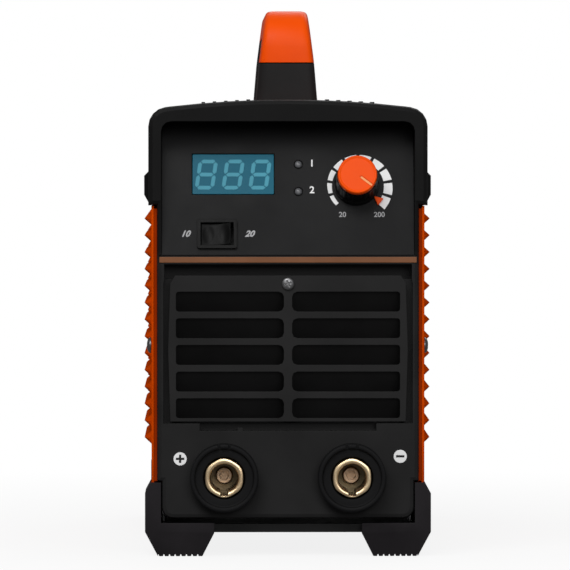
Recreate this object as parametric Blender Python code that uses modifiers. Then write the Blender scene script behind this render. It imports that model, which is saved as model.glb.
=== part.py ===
"""A stick welding inverter, built as separate pieces in metres.

X points to the right of someone facing the front, Y to the back and Z up. The feet stand on
Z = 0, and the origin is under the middle of the whole machine.
"""

import math

import bmesh
import bpy
from mathutils import Matrix, Vector

mm = 0.001

# ---- Driving dimensions ----
FACE_Y = -148.5 * mm  # front face of the socket panel
BACK_Y = 136.5 * mm  # rear face of the rear panel
MIDDLE_Y = (FACE_Y + BACK_Y) / 2  # the casing and the feet are alike about this plane
GAP = 0.3 * mm  # between neighbouring pieces
WALL = 2.4 * mm  # moulded plastic walls

CASE_HALF_WIDTH = 62.9 * mm
CASE_TOP = 206 * mm
CASE_BOTTOM = 12 * mm
CASE_CORNER = 8 * mm
SHEET = 1.2 * mm
CASE_END = 3 * mm  # the casing stops this far short of the panel faces

PANEL_HALF_WIDTH = 60.3 * mm  # the part of each end panel that sits inside the casing
PANEL_BOTTOM = 17.8 * mm
PANEL_FOOT_HALF_WIDTH = 58.2 * mm  # narrower beside the feet
PANEL_DEPTH = 24.5 * mm
FOOT_TOP = 34.3 * mm

HOOD_HALF_WIDTH = 64.3 * mm  # the rim that closes each end of the casing's top
HOOD_BOTTOM = 162 * mm
HOOD_TOP = 210.7 * mm
HOOD_CROWN_RADIUS = 467 * mm
HOOD_CORNER = 9 * mm
HOOD_DEPTH = 30 * mm
RIM_EDGE = 2 * mm
DRAFT = 0.2 * mm  # the slope of the moulded ledges

PANEL_TILT = math.radians(17)  # the control panel leans back from its lower edge
CONTROL_BOTTOM = 137 * mm  # height of that lower edge
CONTROL_TOP = 200.7 * mm
CONTROL_HALF_WIDTH = 58.4 * mm
FILM = 0.5 * mm

LOUVRE_PITCH = 7.85 * mm
LOUVRE_ROWS = 14
LOUVRE_LOWEST = 54.4 * mm
LOUVRE_GROUPS_START = (-118 * mm, 11 * mm)
LOUVRE_LENGTH = 95 * mm

SOCKET_X = 29.4 * mm
SOCKET_Z = 36.8 * mm

HANDLE_FRONT = -98 * mm
HANDLE_TOP = 252.5 * mm
HANDLE_SEAM = 228.2 * mm
GRIP_SEAM = 240 * mm
HANDLE_SCREW_Y = -84 * mm

SIDE_SCREW_Y = -131 * mm
SIDE_SCREW_Z = 97 * mm

FAN_HALF = 46 * mm
FAN_Z = 68 * mm
FAN_DUCT = 43.5 * mm
POWER_SWITCH_AT = (28 * mm, 165 * mm)  # across and up, seen from behind
GLAND_AT = (-30 * mm, 165 * mm)
EARTH_AT = (-46 * mm, 131 * mm)

BOARD_Z = 118 * mm
BOARD_THICKNESS = 1.6 * mm

# ---- The scene and its collections ----
for old in list(bpy.data.objects):
    bpy.data.objects.remove(old, do_unlink=True)

PARTS = bpy.data.collections.new("stick_welding_inverter")
CUTTERS = bpy.data.collections.new("cutters")
for collection in (PARTS, CUTTERS):
    bpy.context.scene.collection.children.link(collection)


# ---- Materials ----
def surface(name, colour, roughness, metallic=0.0):
    material = bpy.data.materials.new(name)
    material.use_nodes = True
    shader = material.node_tree.nodes["Principled BSDF"]
    shader.inputs["Base Color"].default_value = (*colour, 1)
    shader.inputs["Roughness"].default_value = roughness
    shader.inputs["Metallic"].default_value = metallic
    material.diffuse_color = (*colour, 1)
    return material


ORANGE_PAINT = surface("orange_paint", (0.66, 0.10, 0.012), 0.45)
BLACK_PLASTIC = surface("black_plastic", (0.012, 0.012, 0.013), 0.5)
GLOSS_BLACK = surface("gloss_black", (0.01, 0.01, 0.011), 0.3)
BLACK_FILM = surface("black_film", (0.013, 0.014, 0.016), 0.35)
ORANGE_PLASTIC = surface("orange_plastic", (0.9, 0.12, 0.01), 0.4)
BLACK_RUBBER = surface("black_rubber", (0.02, 0.02, 0.021), 0.8)
BLUE_WINDOW = surface("blue_window", (0.012, 0.10, 0.18), 0.2)
GREY_LENS = surface("grey_lens", (0.12, 0.12, 0.12), 0.3)
BRASS = surface("brass", (0.72, 0.45, 0.16), 0.3, 1.0)
STEEL = surface("steel", (0.55, 0.55, 0.56), 0.35, 1.0)
BLACK_STEEL = surface("black_steel", (0.02, 0.02, 0.02), 0.5, 0.3)
COPPER = surface("copper", (0.75, 0.30, 0.16), 0.35, 1.0)
ALUMINIUM = surface("aluminium", (0.7, 0.7, 0.72), 0.4, 1.0)
GREEN_BOARD = surface("green_board", (0.01, 0.12, 0.04), 0.4)
DARK_FERRITE = surface("dark_ferrite", (0.03, 0.03, 0.032), 0.7)
YELLOW_TAPE = surface("yellow_tape", (0.55, 0.38, 0.03), 0.5)


# ---- Frames: each has Z pointing out of its panel, Y up it and X across it ----
def frame(name, origin, turn, parent=None):
    empty = bpy.data.objects.new(name, None)
    empty.location = origin
    empty.rotation_euler = turn
    empty.parent = parent
    PARTS.objects.link(empty)
    return empty


UPRIGHT = math.radians(90)
FRONT = frame("front_frame", (0, FACE_Y, 0), (UPRIGHT, 0, 0))
CONTROL = frame("control_frame", (0, FACE_Y, CONTROL_BOTTOM), (UPRIGHT - PANEL_TILT, 0, 0))
REAR = frame("rear_frame", (0, BACK_Y, 0), (UPRIGHT, 0, math.radians(180)))


# ---- Shapes ----
def part(name, mesh, material=None, parent=None, at=(0, 0, 0), turn=(0, 0, 0)):
    obj = bpy.data.objects.new(name, mesh)
    obj.parent = parent
    obj.location = at
    obj.rotation_euler = turn
    PARTS.objects.link(obj)
    if material:
        mesh.materials.append(material)
    return obj


def box(name, low, high, material=None, parent=None, **place):
    """A box between two corners."""
    low, high = Vector(low), Vector(high)
    shape = bmesh.new()
    bmesh.ops.create_cube(shape, size=1, matrix=Matrix.LocRotScale((low + high) / 2, None, high - low))
    mesh = bpy.data.meshes.new(name)
    shape.to_mesh(mesh)
    shape.free()
    return part(name, mesh, material, parent, **place)


# An outline's own X, Y and depth, stood up so that the depth lies along the named axis.
STAND = {
    "X": Matrix(((0, 0, 1), (1, 0, 0), (0, 1, 0))).to_4x4(),
    "Y": Matrix(((1, 0, 0), (0, 0, -1), (0, 1, 0))).to_4x4(),
    "Z": Matrix.Identity(4),
}


def outline(name, loops, axis, low, high, material=None, parent=None, edge=0.0, **place):
    """A flat outline extruded along axis from low to high; loops after the first are holes.

    A loop's points hold the other two axes, in X, Y, Z order. edge rounds the rim of the high end
    of an outline that has no holes and stands along Z.
    """
    curve = bpy.data.curves.new(name, "CURVE")
    curve.dimensions = "2D"
    curve.fill_mode = "BOTH"
    curve.extrude = (high - low) / 2
    for loop in loops:
        spline = curve.splines.new("POLY")
        spline.points.add(len(loop) - 1)
        spline.use_cyclic_u = True
        for point, (u, v) in zip(spline.points, loop):
            point.co = (u, v, 0, 1)
    flat = bpy.data.objects.new(name, curve)
    PARTS.objects.link(flat)
    graph = bpy.context.evaluated_depsgraph_get()
    mesh = bpy.data.meshes.new_from_object(flat.evaluated_get(graph))
    bpy.data.objects.remove(flat)
    bpy.data.curves.remove(curve)
    shape = bmesh.new()
    shape.from_mesh(mesh)
    bmesh.ops.remove_doubles(shape, verts=shape.verts, dist=0.005 * mm)
    if len(loops) == 1:
        bmesh.ops.dissolve_limit(shape, angle_limit=0.001, verts=shape.verts, edges=shape.edges)
    bmesh.ops.recalc_face_normals(shape, faces=shape.faces)
    if edge:
        end = max(shape.faces, key=lambda face: face.calc_center_median().z)
        rim = list(end.edges)
        bmesh.ops.bevel(shape, geom=rim, offset=edge, segments=2, profile=0.5, affect="EDGES")
    shape.to_mesh(mesh)
    shape.free()
    centre = Vector([(low + high) / 2 if letter == axis else 0 for letter in "XYZ"])
    mesh.transform(Matrix.Translation(centre) @ STAND[axis])
    return part(name, mesh, material, parent, **place)


def turned(name, profile, material=None, parent=None, sides=32, **place):
    """A profile of (radius, height) points turned about Z.

    The points run down the outer side. A profile that doesn't start on the axis is closed to a ring.
    """
    last = len(profile) - 1
    edges = [(index, index + 1) for index in range(last)]
    if profile[0][0] > 0:
        edges.append((last, 0))
    mesh = bpy.data.meshes.new(name)
    mesh.from_pydata([(radius, 0, height) for radius, height in profile], edges, [])
    obj = part(name, mesh, material, parent, **place)
    screw = obj.modifiers.new("turn", "SCREW")
    screw.steps = screw.render_steps = sides
    screw.use_merge_vertices = True
    screw.merge_threshold = 0.01 * mm
    return obj


def rod(name, radius, low, high, material=None, parent=None, sides=24, **place):
    """A cylinder along Z."""
    profile = [(0, high), (radius, high), (radius, low), (0, low)]
    return turned(name, profile, material, parent, sides, **place)


def ring(centre, radius, sides=24, start=0.0):
    """The points of a circle."""
    angles = [start + math.tau * side / sides for side in range(sides)]
    return [(centre[0] + radius * math.cos(a), centre[1] + radius * math.sin(a)) for a in angles]


def rounded(corners, radius=0.0, steps=3):
    """The points of a polygon with its corners rounded. A corner may hold its own radius third."""
    points = []
    for index, corner in enumerate(corners):
        here = Vector(corner[:2])
        own = corner[2] if len(corner) > 2 else radius
        if not own:
            points.append(tuple(here))
            continue
        before = (Vector(corners[index - 1][:2]) - here).normalized()
        after = (Vector(corners[(index + 1) % len(corners)][:2]) - here).normalized()
        half = before.angle(after) / 2
        centre = here + (before + after).normalized() * (own / math.sin(half))
        start = here + before * (own / math.tan(half)) - centre
        end = here + after * (own / math.tan(half)) - centre
        first = math.atan2(start.y, start.x)
        sweep = (math.atan2(end.y, end.x) - first + math.pi) % math.tau - math.pi
        for step in range(steps + 1):
            angle = first + sweep * step / steps
            points.append((centre.x + own * math.cos(angle), centre.y + own * math.sin(angle)))
    return points


def rectangle(half_width, half_height, radius=0.0, centre=(0, 0)):
    u, v = centre
    corners = [
        (u - half_width, v - half_height),
        (u + half_width, v - half_height),
        (u + half_width, v + half_height),
        (u - half_width, v + half_height),
    ]
    return rounded(corners, radius)


def both_sides(half):
    """A loop from the points of its right half, listed bottom to top."""
    return half + [(-point[0], *point[1:]) for point in reversed(half)]


def combine(target, tools, operation):
    for tool in tools:
        modifier = target.modifiers.new(tool.name, "BOOLEAN")
        modifier.operation = operation
        modifier.object = tool
        modifier.solver = "EXACT"
        tool.hide_render = True
        tool.display_type = "WIRE"
        PARTS.objects.unlink(tool)
        CUTTERS.objects.link(tool)
    return target


def cut(target, *tools):
    return combine(target, tools, "DIFFERENCE")


def join(target, *tools):
    return combine(target, tools, "UNION")


def keep_inside(target, *tools):
    return combine(target, tools, "INTERSECT")


def round_edges(obj, width, segments=2, angle=40):
    bevel = obj.modifiers.new("rounded_edges", "BEVEL")
    bevel.width = width
    bevel.segments = segments
    bevel.limit_method = "ANGLE"
    bevel.angle_limit = math.radians(angle)
    return obj


def repeat(obj, count, offset):
    array = obj.modifiers.new("repeat", "ARRAY")
    array.count = count
    array.use_relative_offset = False
    array.use_constant_offset = True
    array.constant_offset_displace = offset
    return obj


def mirrored(obj):
    mirror = obj.modifiers.new("other_side", "MIRROR")
    mirror.use_mirror_merge = False
    return obj


def opposite(y):
    """The same place at the other end of the machine."""
    return 2 * MIDDLE_Y - y


# ---- Casing ----
def louvre_bumps():
    """The pressed hoods of the side louvres, closed at their ends."""
    wall = CASE_HALF_WIDTH
    return [
        (wall - 0.6 * mm, 4.2 * mm),
        (wall + 3.2 * mm, -0.4 * mm),
        (wall + 3.6 * mm, -1.1 * mm),
        (wall + 3.1 * mm, -1.8 * mm),
        (wall - 0.6 * mm, -3.7 * mm),
    ]


def louvre_slot():
    """The opening under each hood, through the sheet."""
    wall = CASE_HALF_WIDTH
    return [
        (wall - 2.0 * mm, 1.2 * mm),
        (wall + 2.1 * mm, -1.0 * mm),
        (wall + 0.8 * mm, -4.0 * mm),
        (wall - 2.0 * mm, -2.9 * mm),
    ]


def louvre_rows(name, loop, inset):
    """One row's outline, repeated up the side, along it and on the other side."""
    start, second = LOUVRE_GROUPS_START
    rows = outline(name, [loop], "Y", start + inset, start + LOUVRE_LENGTH - inset)
    rows.data.transform(Matrix.Translation((0, 0, LOUVRE_LOWEST)))
    repeat(rows, LOUVRE_ROWS, (0, 0, LOUVRE_PITCH))
    repeat(rows, 2, (0, second - start, 0))
    return mirrored(rows)


def make_casing():
    """The sheet steel cover: an upside-down U, louvred on both sides."""
    outer, inner = CASE_HALF_WIDTH, CASE_HALF_WIDTH - SHEET
    front, back = FACE_Y + CASE_END, BACK_Y - CASE_END
    outside = both_sides([(outer, CASE_BOTTOM), (outer, CASE_TOP, CASE_CORNER)])
    inside = both_sides([(inner, CASE_BOTTOM), (inner, CASE_TOP - SHEET, CASE_CORNER - SHEET)])
    section = rounded(outside + inside[::-1])
    casing = outline("casing", [section], "Y", front, back, ORANGE_PAINT)
    upper = HOOD_BOTTOM - GAP
    for name, low, high in (
        ("front_hood_seat", front - 5 * mm, FACE_Y + HOOD_DEPTH + GAP),
        ("rear_hood_seat", BACK_Y - HOOD_DEPTH - GAP, back + 5 * mm),
    ):
        cut(casing, box(name, (-70 * mm, low, upper), (70 * mm, high, CASE_TOP + 5 * mm)))
    for end, inward in ((front, 1), (back, -1)):
        for side in (-1, 1):
            hem_inside = side * (PANEL_HALF_WIDTH + GAP)
            hem_outside = side * (inner + 0.4 * mm)
            across = sorted((hem_inside, hem_outside))
            along = sorted((end, end + inward * SHEET))
            low = (across[0], along[0], FOOT_TOP + 0.5 * mm)
            high = (across[1], along[1], upper - 1 * mm)
            join(casing, box("hem", low, high))
    join(casing, louvre_rows("louvre_hoods", louvre_bumps(), 0))
    cut(casing, louvre_rows("louvre_slots", louvre_slot(), 1.2 * mm))
    for y in (SIDE_SCREW_Y, opposite(SIDE_SCREW_Y)):
        cut(casing, side_hole("casing_screw_hole", y, 70 * mm))
    for y in (HANDLE_SCREW_Y, opposite(HANDLE_SCREW_Y)):
        cut(casing, rod("handle_screw_hole", 2.4 * mm, 190 * mm, 215 * mm, sides=16, at=(0, y, 0)))
    return casing


def side_hole(name, y, half_length):
    """A cutter for the holes of the casing screws, right across the machine."""
    at = (0, y, SIDE_SCREW_Z)
    return rod(name, 2.3 * mm, -half_length, half_length, sides=12, at=at, turn=(0, UPRIGHT, 0))


# ---- End panels ----
def crown(x):
    """Height of the arched top of the rim."""
    return HOOD_TOP - HOOD_CROWN_RADIUS + math.sqrt(HOOD_CROWN_RADIUS**2 - x**2)


def panel_loop():
    """An end panel's outline: narrow beside the feet and in the casing, wide where it forms the rim."""
    half = [
        (PANEL_FOOT_HALF_WIDTH, PANEL_BOTTOM, 5 * mm),
        (PANEL_FOOT_HALF_WIDTH, FOOT_TOP + 0.5 * mm),
        (PANEL_HALF_WIDTH, FOOT_TOP + 0.5 * mm + DRAFT),
        (PANEL_HALF_WIDTH, HOOD_BOTTOM + DRAFT),
        (HOOD_HALF_WIDTH, HOOD_BOTTOM),
        (HOOD_HALF_WIDTH, crown(HOOD_HALF_WIDTH), HOOD_CORNER),
    ]
    half += [(share * 54 * mm, crown(share * 54 * mm)) for share in (1, 0.75, 0.5, 0.25)]
    left = [(-point[0], *point[1:]) for point in reversed(half)]
    return rounded([*half, (0, HOOD_TOP), *left], steps=4)


def end_panel(name, panel_frame):
    """The block that both end panels start from, in the frame of its face."""
    loop = panel_loop()
    panel = outline(name, [loop], "Z", -HOOD_DEPTH, 0, BLACK_PLASTIC, panel_frame, edge=RIM_EDGE)
    below_rim = (70 * mm, HOOD_BOTTOM - 1 * mm, -PANEL_DEPTH)
    cut(panel, box("below_rim", (-70 * mm, 0, -HOOD_DEPTH - 5 * mm), below_rim, parent=panel_frame))
    for side in (-1, 1):
        bottom = HOOD_BOTTOM + 0.2 * mm
        tab = [
            (side * 62.6 * mm, bottom),
            (side * 63.9 * mm, bottom),
            (side * 66.4 * mm, 166.7 * mm),
            (side * 66.4 * mm, 175.5 * mm),
            (side * 64 * mm, 178 * mm),
            (side * 62.6 * mm, 178 * mm),
        ]
        join(panel, outline("tab", [tab], "Z", GAP - HOOD_DEPTH, -18 * mm, parent=panel_frame))
    return panel


def make_front_panel():
    """The moulded front: rim, leaning control panel, grille pocket and socket panel."""
    panel = end_panel("front_panel", FRONT)
    lean = math.tan(PANEL_TILT)
    film_seat = 0.8 * mm / math.cos(PANEL_TILT)

    def back_of_lean(z):
        return FACE_Y + (z - CONTROL_BOTTOM) * lean + film_seat + WALL / math.cos(PANEL_TILT)

    step_floor = FACE_Y + 9 * mm + WALL
    pocket_floor = FACE_Y + 5.2 * mm + WALL
    hollow = [
        (FACE_Y + WALL, PANEL_BOTTOM + WALL),
        (FACE_Y + WALL, 55.8 * mm),
        (pocket_floor, 55.8 * mm),
        (pocket_floor, 125.6 * mm),
        (step_floor, 125.6 * mm),
        (step_floor, CONTROL_BOTTOM + 0.4 * mm),
        (back_of_lean(CONTROL_BOTTOM + 0.4 * mm), CONTROL_BOTTOM + 0.4 * mm),
        (back_of_lean(CONTROL_TOP), CONTROL_TOP),
        (back_of_lean(CONTROL_TOP), CONTROL_TOP + 3.3 * mm),
        (FACE_Y + 50 * mm, CONTROL_TOP + 3.3 * mm),
        (FACE_Y + 50 * mm, PANEL_BOTTOM + WALL),
    ]
    cut(panel, outline("panel_hollow", [hollow], "X", -55.6 * mm, 55.6 * mm))
    side_low, side_high = FOOT_TOP + 3 * mm, 159 * mm
    side_wall = PANEL_HALF_WIDTH - WALL
    wider = (side_wall, FACE_Y + 50 * mm, side_high)
    cut(panel, box("side_hollow", (-side_wall, step_floor + 1 * mm, side_low), wider))
    recess_loop = rounded(
        both_sides([(CONTROL_HALF_WIDTH, 138.9 * mm), (CONTROL_HALF_WIDTH, CONTROL_TOP, 4.6 * mm)])
    )
    recess = outline("control_recess", [recess_loop], "Z", -30 * mm, 2 * mm, parent=FRONT)
    behind = box("behind_film", (-90 * mm, -30 * mm, -60 * mm), (90 * mm, 110 * mm, -0.8 * mm), parent=CONTROL)
    cut(recess, behind)
    cut(panel, recess)
    strip_low, strip_high = (-59.5 * mm, 135.4 * mm, -0.9 * mm), (59.5 * mm, 139.2 * mm, 2 * mm)
    cut(panel, box("strip_seat", strip_low, strip_high, parent=FRONT))
    pocket = rounded(both_sides([(57.4 * mm, 61.6 * mm), (57.4 * mm, 131 * mm, 5 * mm)]))
    cut(panel, outline("grille_pocket", [pocket], "Z", -5.2 * mm, 2 * mm, parent=FRONT))
    step_low, step_high = (-57 * mm, 128 * mm, -9 * mm), (57 * mm, 135 * mm, 2 * mm)
    cut(panel, box("shadow_step", step_low, step_high, parent=FRONT))
    notch_low, notch_high = (-40.7 * mm, 58.2 * mm, -4.6 * mm), (40.7 * mm, 62.5 * mm, 2 * mm)
    cut(panel, box("top_notch", notch_low, notch_high, parent=FRONT))
    join(panel, box("notch_lug", (-23.2 * mm, 57.4 * mm, -2 * mm), (-20.8 * mm, 59.6 * mm, -0.6 * mm), parent=FRONT))
    air_low, air_high = (-53 * mm, 63.6 * mm, -12 * mm), (53 * mm, 122.8 * mm, -4 * mm)
    cut(panel, box("air_way", air_low, air_high, parent=FRONT))
    for side in (-1, 1):
        at = (side * SOCKET_X, SOCKET_Z, 0)
        cut(panel, rod("socket_hole", 13.2 * mm, -20 * mm, 5 * mm, parent=FRONT, at=at, sides=32))
    cut(panel, rod("grille_screw_hole", 1.9 * mm, -20 * mm, 5 * mm, parent=FRONT, at=(0, 126 * mm, 0), sides=12))
    cut(panel, side_hole("front_panel_screw_hole", SIDE_SCREW_Y, 70 * mm))
    cut_control_openings(panel, 3 * mm)
    join(panel, hood_ribs())
    return panel


def hood_ribs():
    """Short ribs on top of the rim, five on each side of the handle."""
    top = HOOD_TOP - 2.6 * mm
    rib = box("hood_ribs", (17.4 * mm, -22 * mm, top), (19 * mm, 0, top + 2.7 * mm))
    rib.location = (0, FACE_Y + 26 * mm, 0)
    repeat(rib, 5, (5.2 * mm, 0, -0.3 * mm))
    return mirrored(rib)


def make_rear_panel():
    """The moulded back, with the fan's opening and the holes of the switch, gland and earth screw."""
    panel = end_panel("rear_panel", REAR)
    lower_hollow = both_sides(
        [
            (55.6 * mm, PANEL_BOTTOM + WALL),
            (55.6 * mm, FOOT_TOP + 3 * mm),
            (PANEL_HALF_WIDTH - WALL, FOOT_TOP + 3 * mm + DRAFT),
            (PANEL_HALF_WIDTH - WALL, CONTROL_TOP + 3.3 * mm, 4 * mm),
        ]
    )
    cut(panel, outline("rear_hollow", [rounded(lower_hollow)], "Z", -50 * mm, -WALL, parent=REAR))
    cut(panel, rod("fan_opening", 43 * mm, -20 * mm, 5 * mm, parent=REAR, at=(0, FAN_Z, 0), sides=40))
    cut(panel, rod("gland_hole", 10.2 * mm, -20 * mm, 5 * mm, parent=REAR, at=(*GLAND_AT, 0)))
    cut(panel, rod("earth_hole", 3.2 * mm, -20 * mm, 5 * mm, parent=REAR, at=(*EARTH_AT, 0), sides=16))
    switch_hole = rectangle(10.3 * mm, 13.3 * mm, 0, POWER_SWITCH_AT)
    cut(panel, outline("power_switch_hole", [switch_hole], "Z", -20 * mm, 5 * mm, parent=REAR))
    cut(panel, side_hole("rear_panel_screw_hole", opposite(SIDE_SCREW_Y), 70 * mm))
    return panel


# ---- Feet ----
def make_foot(name, side, front):
    """A corner block: a tapered foot, a floor under the chassis and two walls round the corner.

    The outer end of the foot slopes in towards the sole.
    """
    loop = [
        (39.5 * mm, 0),
        (60 * mm, 0),
        (65.9 * mm, 11.5 * mm),
        (65.9 * mm, FOOT_TOP - 5 * mm),
        (63.2 * mm, FOOT_TOP),
        (58.5 * mm, FOOT_TOP),
        (58.5 * mm, 15.6 * mm),
        (34 * mm, 15.6 * mm),
        (34 * mm, 11 * mm),
    ]
    loop = [(side * x, z) for x, z in loop]
    outer, length = FACE_Y + 0.7 * mm, 35 * mm
    ends = sorted((outer, outer + length)) if front else sorted((opposite(outer), opposite(outer + length)))
    foot = outline(name, [loop], "Y", *ends, BLACK_RUBBER)
    round_edges(foot, 0.8 * mm, 1)
    slope = [(-5 * mm, 11.5 * mm), (0, 11.5 * mm), (4.5 * mm, -DRAFT), (4.5 * mm, -5 * mm), (-5 * mm, -5 * mm)]
    slope = [(outer + y, z) if front else (opposite(outer + y), z) for y, z in slope]
    cut(foot, outline(name + "_slope", [slope], "X", -80 * mm, 80 * mm))
    wall = FACE_Y + CASE_END - GAP
    inside = sorted((wall, -80 * mm)) if front else sorted((opposite(wall), opposite(-80 * mm)))
    across = sorted((0, side * (CASE_HALF_WIDTH + GAP)))
    low = (across[0], inside[0], 10.8 * mm)
    high = (across[1], inside[1], 60 * mm)
    return cut(foot, box(name + "_seat", low, high))


def make_feet():
    for side, hand in ((-1, "left"), (1, "right")):
        make_foot(f"foot_front_{hand}", side, True)
        make_foot(f"foot_rear_{hand}", side, False)


# ---- Chassis ----
def make_chassis():
    """The folded steel floor, with side flanges and a lip at each end."""
    half, under, over = CASE_HALF_WIDTH - SHEET - 0.4 * mm, 11.1 * mm, 12.6 * mm
    front, back = FACE_Y + 5 * mm, BACK_Y - 5 * mm
    base = box("chassis_base", (-half, front, under), (half, back, over), BLACK_STEEL)
    for side in (-1, 1):
        across = sorted((side * half, side * (half - 1.5 * mm)))
        low = (across[0], FACE_Y + 27 * mm, under + 0.5 * mm)
        high = (across[1], BACK_Y - 27 * mm, 30 * mm)
        join(base, box("chassis_flange", low, high))
    for y in (front, back - 1.5 * mm):
        join(base, box("chassis_lip", (-58 * mm, y, under + 0.2 * mm), (58 * mm, y + 1.5 * mm, 14.9 * mm)))
    return base


# ---- Handle ----
def handle_side_loop(shrink=0.0):
    """The arch as seen from the side; shrink draws its outer edge inwards."""
    front, rear = HANDLE_FRONT + shrink, opposite(HANDLE_FRONT) - shrink
    top = HANDLE_TOP - shrink
    round_top = 17 * mm - shrink
    gap_front, gap_rear = -69 * mm, opposite(-69 * mm)
    base = CASE_TOP + GAP
    return rounded(
        [
            (front, base),
            (front, top, round_top),
            (rear, top, round_top),
            (rear, base),
            (gap_rear, base),
            (gap_rear, 234.5 * mm, 9 * mm),
            (gap_front, 234.5 * mm, 9 * mm),
            (gap_front, base),
        ],
        steps=5,
    )


def handle_front_loop():
    """The handle as seen from the front: wide feet, sloping sides and round shoulders."""
    half = [(14.9 * mm, 205 * mm), (13 * mm, HANDLE_SEAM), (9.9 * mm, HANDLE_TOP - 1 * mm, 3.4 * mm)]
    top = HANDLE_TOP + 0.3 * mm
    return rounded([*half, (6 * mm, top), (-6 * mm, top), *[(-p[0], *p[1:]) for p in reversed(half)]])


def grip_loop(grow):
    """Side view of what belongs to the grip: the top of the bar and both upper corners."""
    front, rear = HANDLE_FRONT - 10 * mm, opposite(HANDLE_FRONT - 10 * mm)
    drop_front, drop_rear = HANDLE_FRONT + 8 * mm + grow, opposite(HANDLE_FRONT + 8 * mm + grow)
    low, seam = HANDLE_SEAM - grow, GRIP_SEAM - grow
    top = HANDLE_TOP + 10 * mm
    return [
        (front, low),
        (front, top),
        (rear, top),
        (rear, low),
        (drop_rear, low),
        (drop_rear, seam),
        (drop_front, seam),
        (drop_front, low),
    ]


def make_handle():
    """A black arch screwed to the casing, and the orange grip that caps it."""
    width = 30 * mm
    handle = outline("handle_body", [handle_side_loop()], "X", -width, width, BLACK_PLASTIC)
    keep_inside(handle, outline("handle_front_shape", [handle_front_loop()], "Y", -200 * mm, 200 * mm))
    cut(handle, outline("grip_space", [grip_loop(GAP)], "X", -width, width))
    tongue = (HANDLE_FRONT + 14 * mm, opposite(HANDLE_FRONT + 14 * mm))
    join(handle, box("grip_tongue", (-4 * mm, tongue[0], 237 * mm), (4 * mm, tongue[1], 246 * mm)))
    grip = outline("handle_grip", [handle_side_loop()], "X", -width, width, ORANGE_PLASTIC)
    keep_inside(grip, outline("grip_front_shape", [handle_front_loop()], "Y", -200 * mm, 200 * mm))
    keep_inside(grip, outline("grip_region", [grip_loop(0)], "X", -width, width))
    groove_low = (-4 * mm - GAP, tongue[0] - GAP, 230 * mm)
    groove_high = (4 * mm + GAP, tongue[1] + GAP, 246 * mm + GAP)
    cut(grip, box("grip_groove", groove_low, groove_high))
    for y, end in ((HANDLE_SCREW_Y, "front"), (opposite(HANDLE_SCREW_Y), "rear")):
        cut(handle, rod("leg_hole", 2.4 * mm, 200 * mm, 224 * mm, sides=16, at=(0, y, 0)))
        under = CASE_TOP - SHEET - GAP
        screw = [
            (0, 223 * mm),
            (2 * mm, 223 * mm),
            (2 * mm, under),
            (4.2 * mm, under),
            (3.6 * mm, under - 2.6 * mm),
            (0, under - 2.6 * mm),
        ]
        turned(f"handle_screw_{end}", screw, STEEL, sides=16, at=(0, y, 0))


# ---- Control panel ----
def up_panel(z):
    """Distance up the leaning panel to a height."""
    return (z - CONTROL_BOTTOM) / math.cos(PANEL_TILT)


DISPLAY_AT = (-25.2 * mm, up_panel(176.3 * mm))
DISPLAY_HALF = (18.8 * mm, 9.6 * mm)
KNOB_AT = (31.8 * mm, up_panel(171.7 * mm))
MODE_SWITCH_AT = (-32.6 * mm, up_panel(148.6 * mm))
LAMPS_AT = ((4.9 * mm, up_panel(180.8 * mm)), (4.9 * mm, up_panel(168.3 * mm)))
LAMP_RADIUS = 1.85 * mm


def cut_control_openings(piece, reach):
    """The openings that the display, lamps, knob and switch share in the film and the wall."""
    low, high = -5 * mm, reach
    display = rectangle(DISPLAY_HALF[0] + GAP, DISPLAY_HALF[1] + GAP, 0, DISPLAY_AT)
    switch = rectangle(8.8 * mm, 6.6 * mm, 0, MODE_SWITCH_AT)
    for name, loop in (("display_hole", display), ("mode_switch_hole", switch)):
        cut(piece, outline(name, [loop], "Z", low, high, parent=CONTROL))
    cut(piece, rod("shaft_hole", 3.9 * mm, low, high, parent=CONTROL, at=(*KNOB_AT, 0), sides=20))
    for lamp in LAMPS_AT:
        cut(piece, rod("lamp_hole", LAMP_RADIUS + GAP, low, high, parent=CONTROL, at=(*lamp, 0), sides=16))


def make_control_panel():
    """The film on the leaning panel and what shows through it."""
    bottom, top = up_panel(138.9 * mm) + 0.3 * mm, up_panel(CONTROL_TOP) - 0.4 * mm
    half = CONTROL_HALF_WIDTH - GAP
    loop = rounded(both_sides([(half, bottom), (half, top, 4.6 * mm)]))
    film = outline("control_overlay", [loop], "Z", -FILM, 0, BLACK_FILM, CONTROL)
    cut_control_openings(film, 3 * mm)
    strip_low, strip_high = (-59.2 * mm, 135.7 * mm, -0.6 * mm), (59.2 * mm, 138.3 * mm, 0.25 * mm)
    box("accent_strip", strip_low, strip_high, ORANGE_PLASTIC, FRONT)
    window = rectangle(*DISPLAY_HALF, 0.6 * mm, DISPLAY_AT)
    outline("display_window", [window], "Z", -2.6 * mm, -0.2 * mm, BLUE_WINDOW, CONTROL)
    for lamp, place in zip(LAMPS_AT, ("upper", "lower")):
        profile = [(0, 0.5 * mm), (LAMP_RADIUS - 0.6 * mm, 0.4 * mm), (LAMP_RADIUS, 0)]
        profile += [(LAMP_RADIUS, -9 * mm), (0, -9 * mm)]
        turned(f"indicator_{place}", profile, GREY_LENS, CONTROL, sides=16, at=(*lamp, 0))


def make_control_board():
    """The board behind the control panel, with the display's module on it."""
    board_low, board_high = (-54 * mm, 3 * mm, -15.6 * mm), (54 * mm, 57 * mm, -14 * mm)
    box("control_board", board_low, board_high, GREEN_BOARD, CONTROL)
    module = rectangle(DISPLAY_HALF[0], DISPLAY_HALF[1], 0, DISPLAY_AT)
    outline("display_module", [module], "Z", -13.7 * mm, -3.2 * mm, DARK_FERRITE, CONTROL)


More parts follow.
